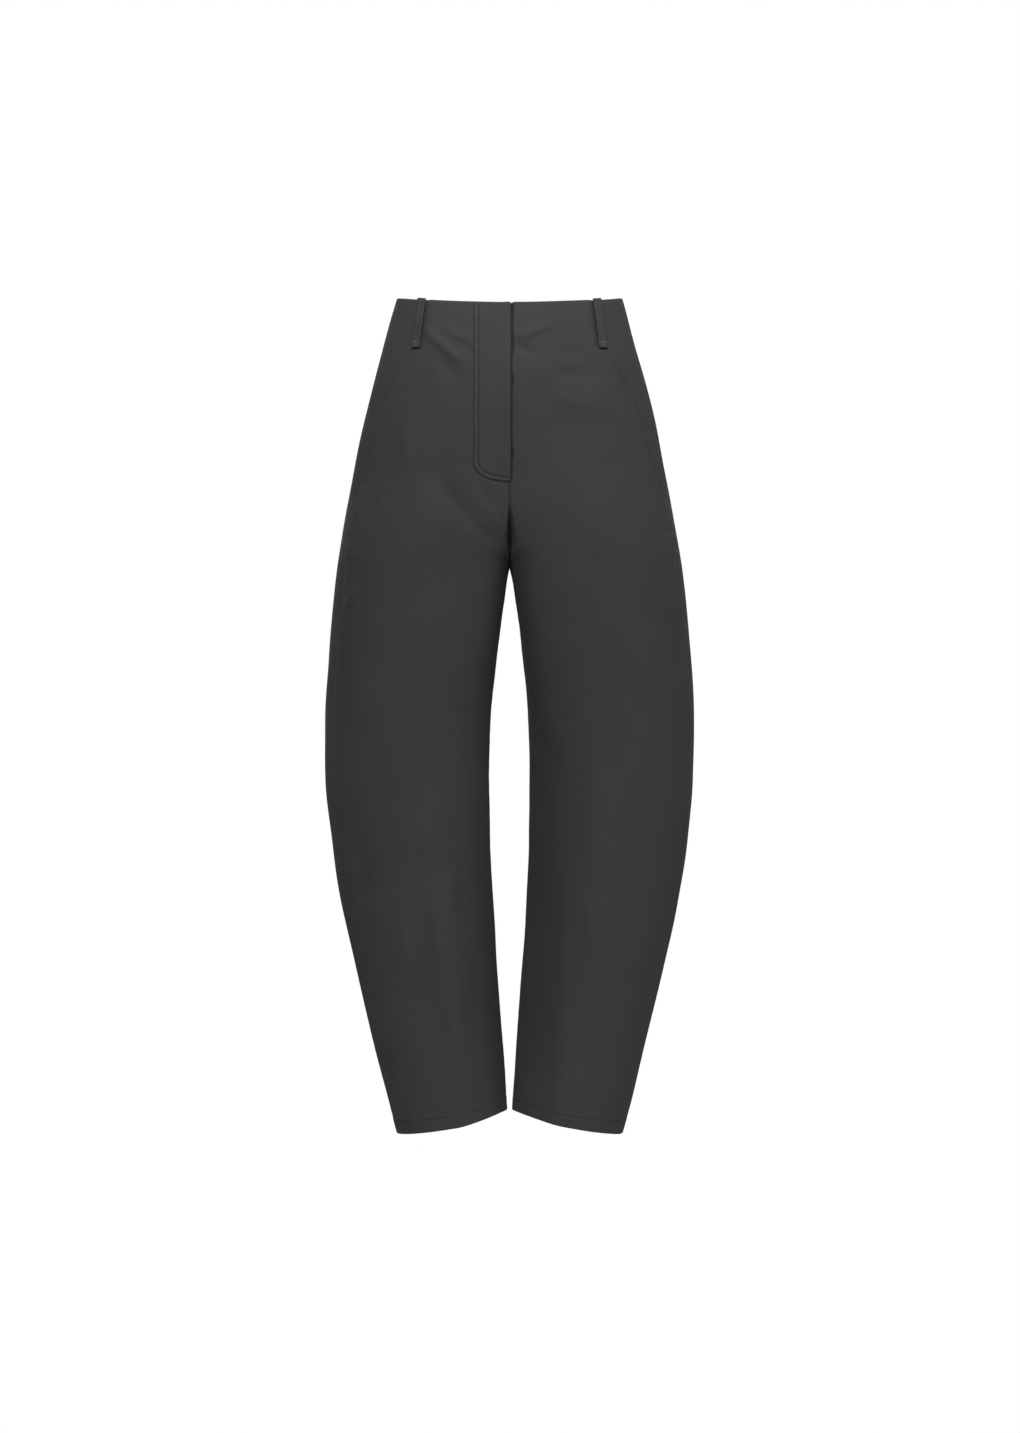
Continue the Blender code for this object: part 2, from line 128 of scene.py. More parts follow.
INNER = table(("down", "oval"), [
    (-10.0, 2.1),
    (190.0, 2.1),
    (260.0, 3.4),
    (323.0, 4.2),
    (400.0, 3.6),
    (480.0, 2.6),
    (560.0, 2.0),
    (640.0, 1.7),
    (700.0, 1.6),
    (860.0, 1.6),
    (960.0, 1.75),
    (1020.0, 1.85),
])
SHIN = table(("down", "share"), [
    (400.0, 0.0),
    (520.0, 0.3),
    (620.0, 0.8),
    (700.0, 1.0),
    (860.0, 1.0),
    (960.0, 0.7),
    (1020.0, 0.5),
])
SIDE_SEAM = table(("down", "degrees"), [
    (-10.0, 12.0),
    (100.0, 12.5),
    (170.0, 11.5),
    (212.0, 12.0),
    (248.0, 18.0),
    (290.0, 24.0),
    (330.0, 31.0),
    (380.0, 33.0),
    (430.0, 30.0),
    (510.0, 31.0),
    (650.0, 26.0),
    (800.0, 20.0),
    (1020.0, 14.0),
])
POCKET_MOUTH = table(("down", "degrees"), [
    (-10.0, 39.0),
    (50.0, 40.5),
    (82.0, 37.3),
    (96.0, 34.2),
    (110.0, 30.7),
    (126.0, 28.4),
    (144.0, 27.0),
    (181.0, 25.0),
    (210.0, 22.6),
    (248.0, 18.3),
])
print("the trousers are", LENGTH, "mm long, and fork at", FORK)

# %% [markdown]
# ## Folds and creases
#
# Cloth that is pulled or pushed makes soft ridges and troughs. Each is a short line on the front
# or back view: along the line it swells and fades like half a sine wave, and across it falls off
# like a bell. The large ones are in the solids too. The small ones are only here, uneven in
# length and depth as cotton makes them, and the hidden back has similar ones. They are placed
# where the camera sees them: the front is nearer to it than the side outline is, and so it shows
# a little larger.

# %% Tables of folds and creases
FOLD_COLUMNS = ("leg", "face", "x1", "down1", "x2", "down2", "width", "height")
FOLDS = table(FOLD_COLUMNS, [
    (-1, 1, 100, 205, 38, 285, 17, -3.0),
    (-1, 1, 124, 120, 128, 230, 20, 1.8),
    (-1, 1, 123, 540, 124, 670, 18, 2.4),
    (-1, 1, 192, 590, 186, 735, 20, -2.8),
    (-1, 1, 46, 490, 45, 575, 16, -2.2),
    (-1, 1, 44, 560, 50, 655, 16, 1.8),
    (-1, 1, 134, 700, 128, 820, 15, 1.8),
    (-1, 1, 95, 690, 78, 880, 17, 3.0),
    (-1, 1, 42, 800, 38, 950, 16, -2.0),
    (1, 1, 43, 72, 135, 122, 17, 2.4),
    (1, 1, 54, 65, 109, 95, 12, -2.2),
    (1, 1, 112, 560, 108, 720, 20, 2.6),
    (1, 1, 46, 520, 48, 660, 16, -2.0),
    (1, 1, 104, 700, 88, 900, 18, 3.0),
    (-1, -1, 40, 345, 150, 300, 22, -3.6),
    (1, -1, 46, 350, 140, 292, 22, -3.2),
    (-1, -1, 60, 560, 190, 535, 20, -3.4),
    (1, -1, 50, 545, 180, 570, 20, -3.8),
    (-1, -1, 120, 620, 100, 860, 22, 3.2),
    (1, -1, 108, 600, 92, 830, 22, 3.0),
    (-1, -1, 60, 700, 52, 930, 20, -3.2),
    (1, -1, 150, 690, 116, 900, 20, -3.0),
])
CREASES = table(FOLD_COLUMNS, [
    (-1, 1, 174, 222, 191, 284, 6, 2.6),
    (-1, 1, 191, 284, 192, 318, 5, 2.8),
    (-1, 1, 160, 236, 178, 276, 6, -2.2),
    (-1, 1, 185, 346, 198, 374, 5, 2.8),
    (-1, 1, 197, 306, 201, 376, 4, -2.6),
    (-1, 1, 202, 384, 208, 464, 4, -2.0),
    (-1, 1, 107, 28, 78, 60, 6, 2.9),
    (-1, 1, 90, 46, 54, 78, 6, 2.7),
    (-1, 1, 92, 66, 56, 104, 8, -1.8),
    (-1, 1, 66, 44, 40, 70, 6, -1.7),
    (-1, 1, 82, 34, 42, 52, 6, 1.3),
    (-1, 1, 74, 18, 46, 34, 7, -0.9),
    (-1, 1, 34, 8, 8, 40, 6, 0.8),
    (-1, 1, 36, 66, 14, 110, 8, -0.7),
    (-1, 1, 124, 140, 125, 210, 8, 1.2),
    (-1, 1, 92, 214, 38, 278, 8, -1.6),
    (-1, 1, 60, 262, 12, 300, 7, -1.4),
    (-1, 1, 42, 220, 12, 262, 6, -1.7),
    (-1, 1, 30, 244, 8, 280, 6, 0.8),
    (-1, 1, 52, 196, 30, 232, 6, -1.2),
    (-1, 1, 131, 706, 127, 820, 9, 1.3),
    (-1, 1, 97, 696, 80, 856, 9, 1.6),
    (-1, 1, 76, 700, 58, 1080, 15, 1.9),
    (-1, 1, 32, 680, 20, 1080, 22, -3.6),
    (-1, 1, 107, 622, 106, 682, 6, 1.5),
    (-1, 1, 72, 858, 70, 914, 6, 1.3),
    (-1, 1, 57, 688, 56, 785, 8, -1.5),
    (-1, 1, 188, 640, 172, 800, 9, -1.8),
    (-1, 1, 150, 470, 186, 520, 12, 1.1),
    (-1, 1, 122, 920, 134, 970, 8, -1.0),
    (-1, 1, 66, 500, 58, 600, 10, 1.2),
    (1, 1, 2, 46, 58, 25, 6, 2.6),
    (1, 1, 5, 108, 5, 172, 6, -1.3),
    (1, 1, 0, 50, 40, 68, 7, -2.6),
    (1, 1, 50, 68, 90, 60, 7, -1.3),
    (1, 1, 46, 82, 128, 98, 11, -3.8),
    (1, 1, 44, 110, 130, 142, 14, 2.8),
    (1, 1, 30, 76, 66, 96, 8, 1.0),
    (1, 1, 14, 84, 52, 104, 8, 0.8),
    (1, 1, 112, 366, 172, 386, 8, -0.7),
    (1, 1, 80, 400, 96, 410, 5, -0.5),
    (1, 1, 86, 700, 118, 850, 8, 1.4),
    (1, 1, 48, 560, 70, 760, 12, 1.4),
    (1, 1, 76, 680, 68, 900, 14, 2.2),
    (1, 1, 72, 760, 54, 1080, 14, 2.4),
    (1, 1, 34, 640, 20, 1080, 24, -4.2),
    (1, 1, 150, 560, 178, 600, 12, 1.0),
    (1, 1, 60, 430, 58, 520, 10, -0.9),
    (-1, -1, 30, 300, 96, 262, 10, -1.6),
    (1, -1, 28, 306, 104, 270, 10, -1.5),
    (-1, -1, 70, 330, 170, 350, 11, 1.5),
    (1, -1, 64, 338, 160, 330, 11, 1.3),
    (-1, -1, 18, 322, 92, 334, 11, -1.9),
    (1, -1, 20, 326, 98, 320, 11, -1.7),
    (-1, -1, 26, 200, 12, 290, 9, 1.1),
    (1, -1, 30, 214, 14, 284, 9, 0.9),
    (-1, -1, 104, 20, 70, 74, 8, -1.2),
    (1, -1, 112, 14, 84, 62, 8, -1.0),
    (-1, -1, 150, 250, 188, 330, 12, 1.5),
    (1, -1, 146, 262, 190, 344, 12, 1.3),
    (-1, -1, 64, 590, 150, 604, 9, 1.5),
    (1, -1, 70, 520, 168, 534, 9, 1.4),
    (-1, -1, 176, 480, 206, 548, 10, -1.4),
    (1, -1, 168, 500, 204, 560, 10, -1.3),
    (-1, -1, 128, 640, 116, 790, 9, 1.4),
    (1, -1, 100, 680, 88, 850, 9, 1.5),
    (-1, -1, 90, 900, 126, 960, 10, -1.1),
    (1, -1, 60, 880, 74, 968, 10, -1.2),
])
FOLD_EDGE_SHARPNESS = 3.0
FRONT_DEPTH = 105.0
EYE_LEVEL = -CAMERA_HEIGHT
ANGLE_STEP = 1e-4
LEVEL_STEP = 0.1
print(len(FOLDS["leg"]), "folds and", len(CREASES["leg"]), "creases")

# %% Curves, rings and the skin itself


def smooth(rows, values, wanted):
    """A curve through the rows that never overshoots: cubic pieces, each with the harmonic mean of
    the slopes beside a row as the slope at that row, and flat where those slopes differ in sign."""
    steps = np.diff(rows)
    slopes = np.diff(values) / steps
    product = slopes[:-1] * slopes[1:]
    total = np.where(product > 0, slopes[:-1] + slopes[1:], 1.0)
    between = np.where(product > 0, 2 * product / total, 0.0)
    tangents = np.concatenate([slopes[:1], between, slopes[-1:]])
    piece = np.clip(np.searchsorted(rows, wanted, side="right") - 1, 0, len(steps) - 1)
    step = steps[piece]
    t = (wanted - rows[piece]) / step
    start = values[piece] * (2 * t**3 - 3 * t**2 + 1) + tangents[piece] * step * (t**3 - 2 * t**2 + t)
    end = values[piece + 1] * (3 * t**2 - 2 * t**3) + tangents[piece + 1] * step * (t**3 - t**2)
    return start + end


def ease(value):
    """0 below 0, 1 above 1, and 3 t squared less 2 t cubed between."""
    t = np.clip(value, 0, 1)
    return t * t * (3 - 2 * t)


def bell(away, width, power=2):
    """1 in the middle, and beside it e to minus the square, or another power, of away over width."""
    return np.exp(-(away / width) ** power)


def bump(away, size):
    """A ridge, or a groove if its height is below zero: size is its height and its width."""
    return size[0] * bell(away, size[1])


def unit(vectors):
    """The same directions, each with the length 1."""
    return vectors / np.linalg.norm(vectors, axis=-1, keepdims=True)


def row_lengths(grid):
    """How far along its row each point of a grid lies: the steps between neighbours added up."""
    steps = np.linalg.norm(np.diff(grid, axis=1), axis=-1)
    return np.concatenate([np.zeros((len(grid), 1)), np.cumsum(steps, axis=1)], axis=1)


def section(down, column):
    """One column of the SECTIONS table at any level."""
    return smooth(SECTIONS["down"], SECTIONS[column], down)


def ring_oval(down):
    """Middle and half width of a ring's oval: half the sum and half the difference of its ends."""
    reach = section(down, "side")
    inner = reach * section(down, "inner")
    return (reach + inner) / 2, (reach - inner) / 2


def down_of(angle, ring):
    """How far down a ring's point lies: the ring, less the waist's dip, less the hem's slant."""
    to_front = np.clip(np.sin(angle), 0, 1)
    to_back = np.clip(-np.sin(angle), 0, 1)
    waist = (WAIST_SIDE_RISE - WAIST_FRONT_DIP * to_front - WAIST_FRONT_ROUND * to_front**2
             + WAIST_BACK_RISE * to_back)
    near_waist = np.clip(1 - ring / WAIST_FADE, 0, None) ** 2
    near_hem = np.clip((ring - LENGTH + HEM_FADE) / HEM_FADE, 0, None) ** 2
    return ring - waist * near_waist - HEM_SLANT * np.cos(angle) * near_hem


def inner_oval(down):
    """The oval of a ring's front towards the middle plane: square at the fork, slanted below."""
    return smooth(INNER["down"], INNER["oval"], down)


def bare_skin(side, angle, down):
    """A superellipse at each level: |x/width|^oval + |y/depth|^oval = 1 about the foremost line."""
    middle, half = ring_oval(down)
    shin = smooth(SHIN["down"], SHIN["share"], np.clip(down, *SHIN["down"][[0, -1]]))
    foremost = middle - half * FOREMOST_SHIFT[side] * shin
    cosine, sine = np.cos(angle), np.sin(angle)
    front_oval = np.where(cosine > 0, inner_oval(down), OVAL + (OUTER_OVAL - OVAL) * shin)
    oval = np.where(sine > 0, front_oval, OVAL)
    reach = (np.abs(cosine) ** oval + np.abs(sine) ** oval) ** (-1 / oval)
    width = np.where(cosine > 0, foremost - (middle - half), middle + half - foremost)
    side_y = section(down, "middle")
    depth = np.where(sine > 0, section(down, "front") + side_y, section(down, "back") - side_y)
    return np.stack([foremost - width * cosine * reach, side_y - depth * sine * reach, -down], axis=-1)


def fold_height(folds, side, x, down, sine):
    """The sum over a table's folds of height * sin(pi * along) * exp(-(across / width)^2)."""
    height = np.zeros_like(x)
    for i in np.flatnonzero(folds["leg"] == side):
        fold = {name: column[i] for name, column in folds.items()}
        run = np.array([fold["x2"] - fold["x1"], fold["down2"] - fold["down1"]])
        length = np.hypot(*run)
        dx, dz = x - fold["x1"], down - fold["down1"]
        along = (dx * run[0] + dz * run[1]) / length**2
        across = (dx * run[1] - dz * run[0]) / length
        swell = np.sin(np.pi * np.clip(along, 0, 1))
        shown = np.clip(fold["face"] * sine * FOLD_EDGE_SHARPNESS, 0, 1)
        height += fold["height"] * swell * shown * bell(across, fold["width"])
    return height


def seen_place(x, down, sine):
    """Where a point of the front shows on the plane of the side outline: farther from the
    camera's axis, by the share that the front's depth is of the camera's distance."""
    nearer = 1 + FRONT_DEPTH / CAMERA_DISTANCE * np.abs(sine)
    return x * nearer, EYE_LEVEL + (down - EYE_LEVEL) * nearer


WAVES = table(("round", "down", "phase", "height"), [
    (3.1, 0.021, 0.4, 0.30),
    (-2.3, 0.037, 2.1, 0.24),
    (5.2, 0.013, 4.0, 0.22),
    (-6.7, 0.058, 1.2, 0.14),
    (8.9, 0.046, 5.3, 0.11),
    (-11.3, 0.083, 3.3, 0.07),
])


def slack(side, angle, down):
    """The faint unevenness of worn cotton: the sum of height * sin(round * angle + down + phase)."""
    total = np.zeros_like(angle)
    for a, b, phase, height in zip(*(WAVES[name] for name in ("round", "down", "phase", "height"))):
        total += height * np.sin(a * angle + b * down + phase + side)
    return total


def skin(side, angle, ring):
    """Points and outward directions of the skin, for the wearer's left (1) or right (-1) side."""
    angle, ring = np.broadcast_arrays(angle, ring)
    down = down_of(angle, ring)
    points = bare_skin(side, angle, down)
    turn = bare_skin(side, angle + ANGLE_STEP, down) - bare_skin(side, angle - ANGLE_STEP, down)
    rise = bare_skin(side, angle, down - LEVEL_STEP) - bare_skin(side, angle, down + LEVEL_STEP)
    outward = unit(np.cross(turn, rise))
    x, sine = points[..., 0], np.sin(angle)
    height = fold_height(FOLDS, side, x, down, sine)
    height = height + fold_height(CREASES, side, *seen_place(x, down, sine), sine)
    height = height + slack(side, angle, down)
    mirror = np.array([side, 1, 1])
    return (points + outward * height[..., None]) * mirror, outward * mirror


print("the skin at the side of the hips:", skin(1, np.array(np.pi), np.array(240.0))[0].round(1))

# %% [markdown]
# ## Lines on the skin
#
# Seams, edges and stitches are places on the skin. Some follow an angle round a ring, and those
# of the fly follow a distance from the middle. These helpers turn either into points.

# %% Angles of the seams


def angle_at(x, down, face):
    """The angle at which a ring's front (1) or back (-1) passes a distance x from the middle. It
    holds down to the fork, where the foremost line is still in the middle of the ring."""
    middle, half = ring_oval(down)
    share = np.clip((middle - x) / half, -1, 1)
    oval = np.where((face > 0) & (share > 0), inner_oval(down), OVAL)
    depth = (1 - np.abs(share) ** oval) ** (1 / oval)
    return np.where(face > 0, np.arctan2(depth, share), 2 * np.pi - np.arctan2(depth, share))


def skin_at(x, ring, face):
    """Points and outward directions of the front (1) or back (-1), at signed distances x."""
    x, ring = np.broadcast_arrays(np.asarray(x, float), np.asarray(ring, float))
    angle = angle_at(np.abs(x), ring, face)
    for _ in range(3):
        angle = angle_at(np.abs(x), down_of(angle, ring), face)
    left = np.stack(skin(1, angle, ring))
    right = np.stack(skin(-1, angle, ring))
    return np.where(x[..., None] < 0, right, left)


def seam_angle(seam, ring):
    """Half a turn less the degrees of the side seam or the pocket mouth."""
    return np.pi - np.radians(smooth(seam["down"], seam["degrees"], ring))


def panel_ends(rings, face):
    """A panel's inner and outer angle on each ring: the centre seam or inseam, and the side."""
    inner = angle_at(0, np.minimum(rings, FORK), face)
    outer = seam_angle(SIDE_SEAM, rings)
    if face > 0:
        mouth = seam_angle(POCKET_MOUTH, np.minimum(rings, POCKET_END))
        outer = np.where(rings <= POCKET_END, mouth, outer)
    return inner, outer


print("side seam at the waist:", np.degrees(seam_angle(SIDE_SEAM, 0.0)).round(1), "degrees")

# %% [markdown]
# ## Shells of cloth
#
# A cut piece is a grid of points outside, the same grid one cloth thickness inside, and a rim
# that joins them. A UV map in real metres goes with it, so that the weave has its true scale and
# follows the cloth round the leg.

# %% Building a shell
SHARP_FROM = 60.0


def mesh_object(name, points, faces, uv, material, wear_and_highlight=None):
    """An object from arrays in millimetres. It turns the faces round if the volume, a sixth of the
    sum of a . (b x c) over the triangles, comes out negative."""
    a, b, c, d = (points[faces[:, i]] for i in range(4))
    volume = np.sum(a * np.cross(b, c)) + np.sum(a * np.cross(c, d))
    if volume < 0:
        faces = faces[:, ::-1]
    mesh = bpy.data.meshes.new(name)
    mesh.vertices.add(len(points))
    mesh.vertices.foreach_set("co", (points * MM).astype(np.float32).ravel())
    mesh.loops.add(faces.size)
    mesh.loops.foreach_set("vertex_index", faces.astype(np.int32).ravel())
    mesh.polygons.add(len(faces))
    mesh.polygons.foreach_set("loop_start", np.arange(0, faces.size, 4, dtype=np.int32))
    layer = mesh.uv_layers.new(name="cloth")
    layer.data.foreach_set("uv", (uv[faces.ravel()] * MM).astype(np.float32).ravel())
    worn_and_highlight = mesh.attributes.new("wear_and_highlight", "FLOAT", "POINT")
    worn_and_highlight.data.foreach_set("value", np.zeros(len(points), np.float32) if wear_and_highlight is None
                          else wear_and_highlight.astype(np.float32).ravel())
    mesh.update(calc_edges=True)
    mesh.validate()
    mesh.shade_smooth()
    mesh.set_sharp_from_angle(angle=np.radians(SHARP_FROM))
    mesh.materials.append(material)
    thing = bpy.data.objects.new(name, mesh)
    bpy.context.scene.collection.objects.link(thing)
    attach(thing, "root")
    return thing


def shell(name, outer, inner, material, wear_and_highlight=None):
    """A closed wall between two grids. The UV of a point is its distance along its row and the
    distance down its column, added up from the lengths of the grid's own edges."""
    rows, columns = outer.shape[:2]
    index = np.arange(rows * columns).reshape(rows, columns)
    corners = (index[:-1, :-1], index[1:, :-1], index[1:, 1:], index[:-1, 1:])
    front = np.stack(corners, -1).reshape(-1, 4)
    back = front[:, ::-1] + rows * columns
    edge = np.concatenate([index[0, :-1], index[:-1, -1], index[-1, :0:-1], index[:0:-1, 0]])
    after = np.roll(edge, -1)
    rim = np.stack([edge, after, after + rows * columns, edge + rows * columns], -1)
    u = row_lengths(outer)
    v = row_lengths(outer.swapaxes(0, 1)).T
    uv = np.tile(np.stack([u - u.mean(axis=1, keepdims=True), v], -1).reshape(-1, 2), (2, 1))
    points = np.concatenate([outer.reshape(-1, 3), inner.reshape(-1, 3)])
    wear_and_highlight = None if wear_and_highlight is None else np.tile(wear_and_highlight.ravel(), 2)
    return mesh_object(name, points, np.concatenate([front, back, rim]), uv, material, wear_and_highlight)


def grid_normals(grid, like):
    """Unit directions square to a grid, from its own neighbours, turned to the side of like."""
    normal = np.cross(np.gradient(grid, axis=0), np.gradient(grid, axis=1))
    normal /= np.linalg.norm(normal, axis=-1, keepdims=True) + 1e-12
    return normal * np.sign(np.sum(normal * like, axis=-1, keepdims=True))


print("shell builder is ready")

# %% [markdown]
# ## Charcoal cotton
#
# Twill has fine slanting ribs, one for each step of the weave, and a soft bloom of fibres that
# catches light at grazing angles. The ribs come from a slanted wave on the UV map, broken up by
# noise so that no rib is perfect. Large faint patches come from the cotton taking the dye
# unevenly. Raised edges are a little paler where they have rubbed, and the ridge of the fly's
# stitching and the feet of the belt loops are paler partly from rubbing and partly as a painted
# highlight. The thread is darker than the cloth, partly its own colour and partly painted shade
# in the grooves of the stitches.

# %% Cloth material
RIB_WIDTH = 0.9
RIB_SLANT = 32.0
WAVE_RATE = 20
PATCH_SHARE = 0.62
CLOTH_DARK = (0.0235, 0.0229, 0.0255, 1)
CLOTH_PALE = (0.0335, 0.0326, 0.0355, 1)
CLOTH_WORN_AND_HIGHLIGHT = (0.060, 0.059, 0.063, 1)


class Nodes:
    """A short way to add and join the nodes of one material."""

    def __init__(self, name):
        self.material = bpy.data.materials.new(name)
        self.material.use_nodes = True
        self.tree = self.material.node_tree

    def feed(self, socket, value):
        """Link an output to a socket, or set the socket's own value."""
        if hasattr(value, "is_output"):
            self.tree.links.new(value, socket)
        else:
            socket.default_value = value

    def add(self, kind, links=(), **settings):
        node = self.tree.nodes.new("ShaderNode" + kind)
        for key, value in settings.items():
            if key in node.inputs:
                node.inputs[key].default_value = value
            else:
                setattr(node, key, value)
        for key, source in dict(links).items():
            self.tree.links.new(source, node.inputs[key])
        return node

    def mix(self, factor, low, high):
        node = self.add("MixRGB", {"Fac": factor})
        self.feed(node.inputs["Color1"], low)
        self.feed(node.inputs["Color2"], high)
        return node.outputs["Color"]

    def maths(self, operation, first, second):
        node = self.add("Math", operation=operation)
        self.feed(node.inputs[0], first)
        self.feed(node.inputs[1], second)
        return node.outputs["Value"]

    def finish(self, sockets):
        """Fill the named sockets of the shader."""
        shader = self.tree.nodes["Principled BSDF"]
        for key, value in sockets.items():
            self.feed(shader.inputs[key], value)
        return self.material


def woven(name, dark, pale, worn_and_highlight, rib, strength, sheen, roughness):
    """A twill: colour is a patchy mix of dark and pale, and the bump is a slanted wave, whose ribs
    and furrows are each as wide as rib."""
    made = Nodes(name)
    place = made.add("TexCoord").outputs["Object"]
    flat = made.add("UVMap", uv_map="cloth").outputs["UV"]
    patches = made.add("TexNoise", {"Vector": place}, Scale=14.0, Detail=5.0, Roughness=0.55)
    slubs = made.add("TexNoise", {"Vector": flat}, Scale=420.0, Detail=3.0, Roughness=0.6)
    blend = made.maths("ADD", made.maths("MULTIPLY", patches.outputs["Fac"], PATCH_SHARE),
                       made.maths("MULTIPLY", slubs.outputs["Fac"], 1 - PATCH_SHARE))
    # Paler by a per-point attribute: rubbing on edges and ends, and on the fly's ridge and the loops'
    # feet also a painted highlight.
    wear_and_highlight = made.add("Attribute", attribute_name="wear_and_highlight").outputs["Fac"]
    colour = made.mix(wear_and_highlight, made.mix(blend, dark, pale), worn_and_highlight)
    turned = made.add("Mapping", {"Vector": flat}, Rotation=(0, 0, np.radians(RIB_SLANT)))
    ribs = made.add("TexWave", {"Vector": turned.outputs["Vector"]},
                    Scale=1 / (rib * MM) / WAVE_RATE * np.pi, Distortion=1.2, Detail=2.0)
    relief = made.maths("ADD", ribs.outputs["Fac"], slubs.outputs["Fac"])
    raised = made.add("Bump", {"Height": relief}, Strength=strength, Distance=0.0002)
    return made.finish({"Base Color": colour, "Normal": raised.outputs["Normal"],
                        "Roughness": roughness, "Sheen Weight": sheen, "Sheen Roughness": 0.45,
                        "Specular IOR Level": 0.06})


CLOTH = woven("charcoal_twill", CLOTH_DARK, CLOTH_PALE, CLOTH_WORN_AND_HIGHLIGHT, RIB_WIDTH, 0.55, 0.03, 0.78)
POCKETING = woven("pocket_cloth", (0.040, 0.039, 0.041, 1), (0.055, 0.054, 0.056, 1),
                  (0.06, 0.06, 0.06, 1), 0.6, 0.35, 0.12, 0.85)
TAPE = woven("zip_tape", (0.020, 0.020, 0.021, 1), (0.030, 0.030, 0.032, 1),
             (0.035, 0.035, 0.036, 1), 0.8, 0.8, 0.10, 0.75)
# The thread is darker than the cloth: partly its own colour, partly painted shade that stands in for
# the shade in the stitch grooves.
THREAD_AND_GROOVE_SHADE = woven("thread_and_painted_groove_shade", (0.010, 0.0098, 0.011, 1), (0.017, 0.0165, 0.018, 1),
               (0.05, 0.05, 0.05, 1), 0.5, 0.6, 0.06, 0.55)
print("cloths:", CLOTH.name, POCKETING.name, TAPE.name, THREAD_AND_GROOVE_SHADE.name)

# %% Metal of the zip
ROUGHNESS_LEAST = 0.25
ROUGHNESS_RANGE = 0.25


def zip_metal():
    """Dark plated metal: smooth, with faint handling marks in its roughness."""
    made = Nodes("zip_metal")
    place = made.add("TexCoord").outputs["Object"]
    marks = made.add("TexNoise", {"Vector": place}, Scale=900.0, Detail=4.0)
    range_of_marks = made.maths("MULTIPLY", marks.outputs["Fac"], ROUGHNESS_RANGE)
    return made.finish({"Metallic": 1.0, "Base Color": (0.11, 0.11, 0.115, 1),
                        "Roughness": made.maths("ADD", range_of_marks, ROUGHNESS_LEAST)})


METAL = zip_metal()
print("metal:", METAL.name)

# %% [markdown]
# ## How a seam shapes the cloth
#
# Where two pieces are sewn, both edges roll in to the stitches, so a seam is a narrow groove. The
# allowance pressed flat behind it raises a low band on each side, and the thread draws the cloth
# up into uneven puckers that fade a finger's width away. All three depend only on how far a point
# is from the seam and how far along it.

# %% Seam relief
SEAM_ROLL = 1.9
SEAM_ROLL_REACH = 1.4
ALLOWANCE_WIDTH = 10.0
ALLOWANCE_RISE = 0.28
ALLOWANCE_STEP = 3.0
PUCKER_HEIGHT = 0.34
PUCKER_REACH = 8.0
PUCKER_START = 2.0
PUCKER_PITCHES = (9.7, 13.1, 17.3, 23.9)
PATCH_LENGTH = 61.0
PATCH_DEPTH = 0.45


def uneven(along, seed):
    """Waves of four unlike lengths, each with its own phase, whose sum seldom repeats."""
    total = np.zeros_like(along)
    for i, pitch in enumerate(PUCKER_PITCHES):
        total += np.sin(2 * np.pi * along / pitch + seed * (i + 1.7) * 2.3)
    return total / len(PUCKER_PITCHES)


def drawn_up(away, along, seed, size):
    """Puckers that fade on both sides of a row of stitches: size is their height and reach."""
    return size[0] * uneven(along, seed) * np.exp(-np.abs(away) / size[1])


def step_down(away, place, width):
    """1 up to a place and 0 beyond it, eased over a width that has the place as its middle."""
    return 1 - ease((away - place + width / 2) / width)


def seam_relief(away, along, seed, pucker=1.0):
    """Minus a bell for the roll, plus a soft step for the allowance, plus fading puckers."""
    roll = -SEAM_ROLL * bell(away, SEAM_ROLL_REACH)
    allowance = ALLOWANCE_RISE * step_down(away, ALLOWANCE_WIDTH, ALLOWANCE_STEP)
    patchy = 1 - PATCH_DEPTH + PATCH_DEPTH * np.sin(along / PATCH_LENGTH + seed)
    puckers = drawn_up(away, along, seed, (pucker * PUCKER_HEIGHT * patchy, PUCKER_REACH))
    return roll + allowance + puckers * ease(away / PUCKER_START)


print("a seam sinks", SEAM_ROLL, "mm")

# %% [markdown]
# ## The four panels
#
# Two fronts and two backs run from the waist to the hem. The grid's columns crowd together near
# the seams, where the groove needs them, and its rows near the waist edge, the fork and the
# turned-up hem. The wearer's right front laps over the left one at the fly. The two edges of a
# centre seam leave a hair's breadth between them, and that gap is slanted through the cloth, so
# that no light passes.

# %% Rows and columns of the panels
EDGE_STEPS = np.array([0.0, 0.35, 0.8, 1.4, 2.0, 2.7, 3.6, 4.7, 5.4, 6.0, 6.6, 7.4, 9.0, 11.5])
INNER_COLUMNS = {1: 78, -1: 62}
FLY_COLUMNS = np.arange(34.5, 48.5, 0.8)
COLUMNS_BEFORE_FLY = 7
COARSE_COLUMNS = 41
TOP_ROWS = np.array([0.0, 0.3, 0.8, 1.5, 2.4, 3.6, 5.2])
EVEN_ROWS_FROM = 8.0
ROW_PITCH = 2.9
FLY_ROW_PITCH = 0.9
FLY_ROWS_ABOVE_TURN = 6.0
FLY_ROWS_CLEAR = 1.5
FORK_ROWS = 30
HEM_ROWS = 14
HEM_ROWS_ABOVE = 4.0
HEM_ROWS_END = 3.0
LAST_ROWS = np.array([2.2, 1.4, 0.8, 0.3, 0.0])
J_STRAIGHT_END = 206.0
LAP_END = 231.0
HEM_STITCH = 15.0
TURN_LENGTH = 70.0
HINGE = 0.35


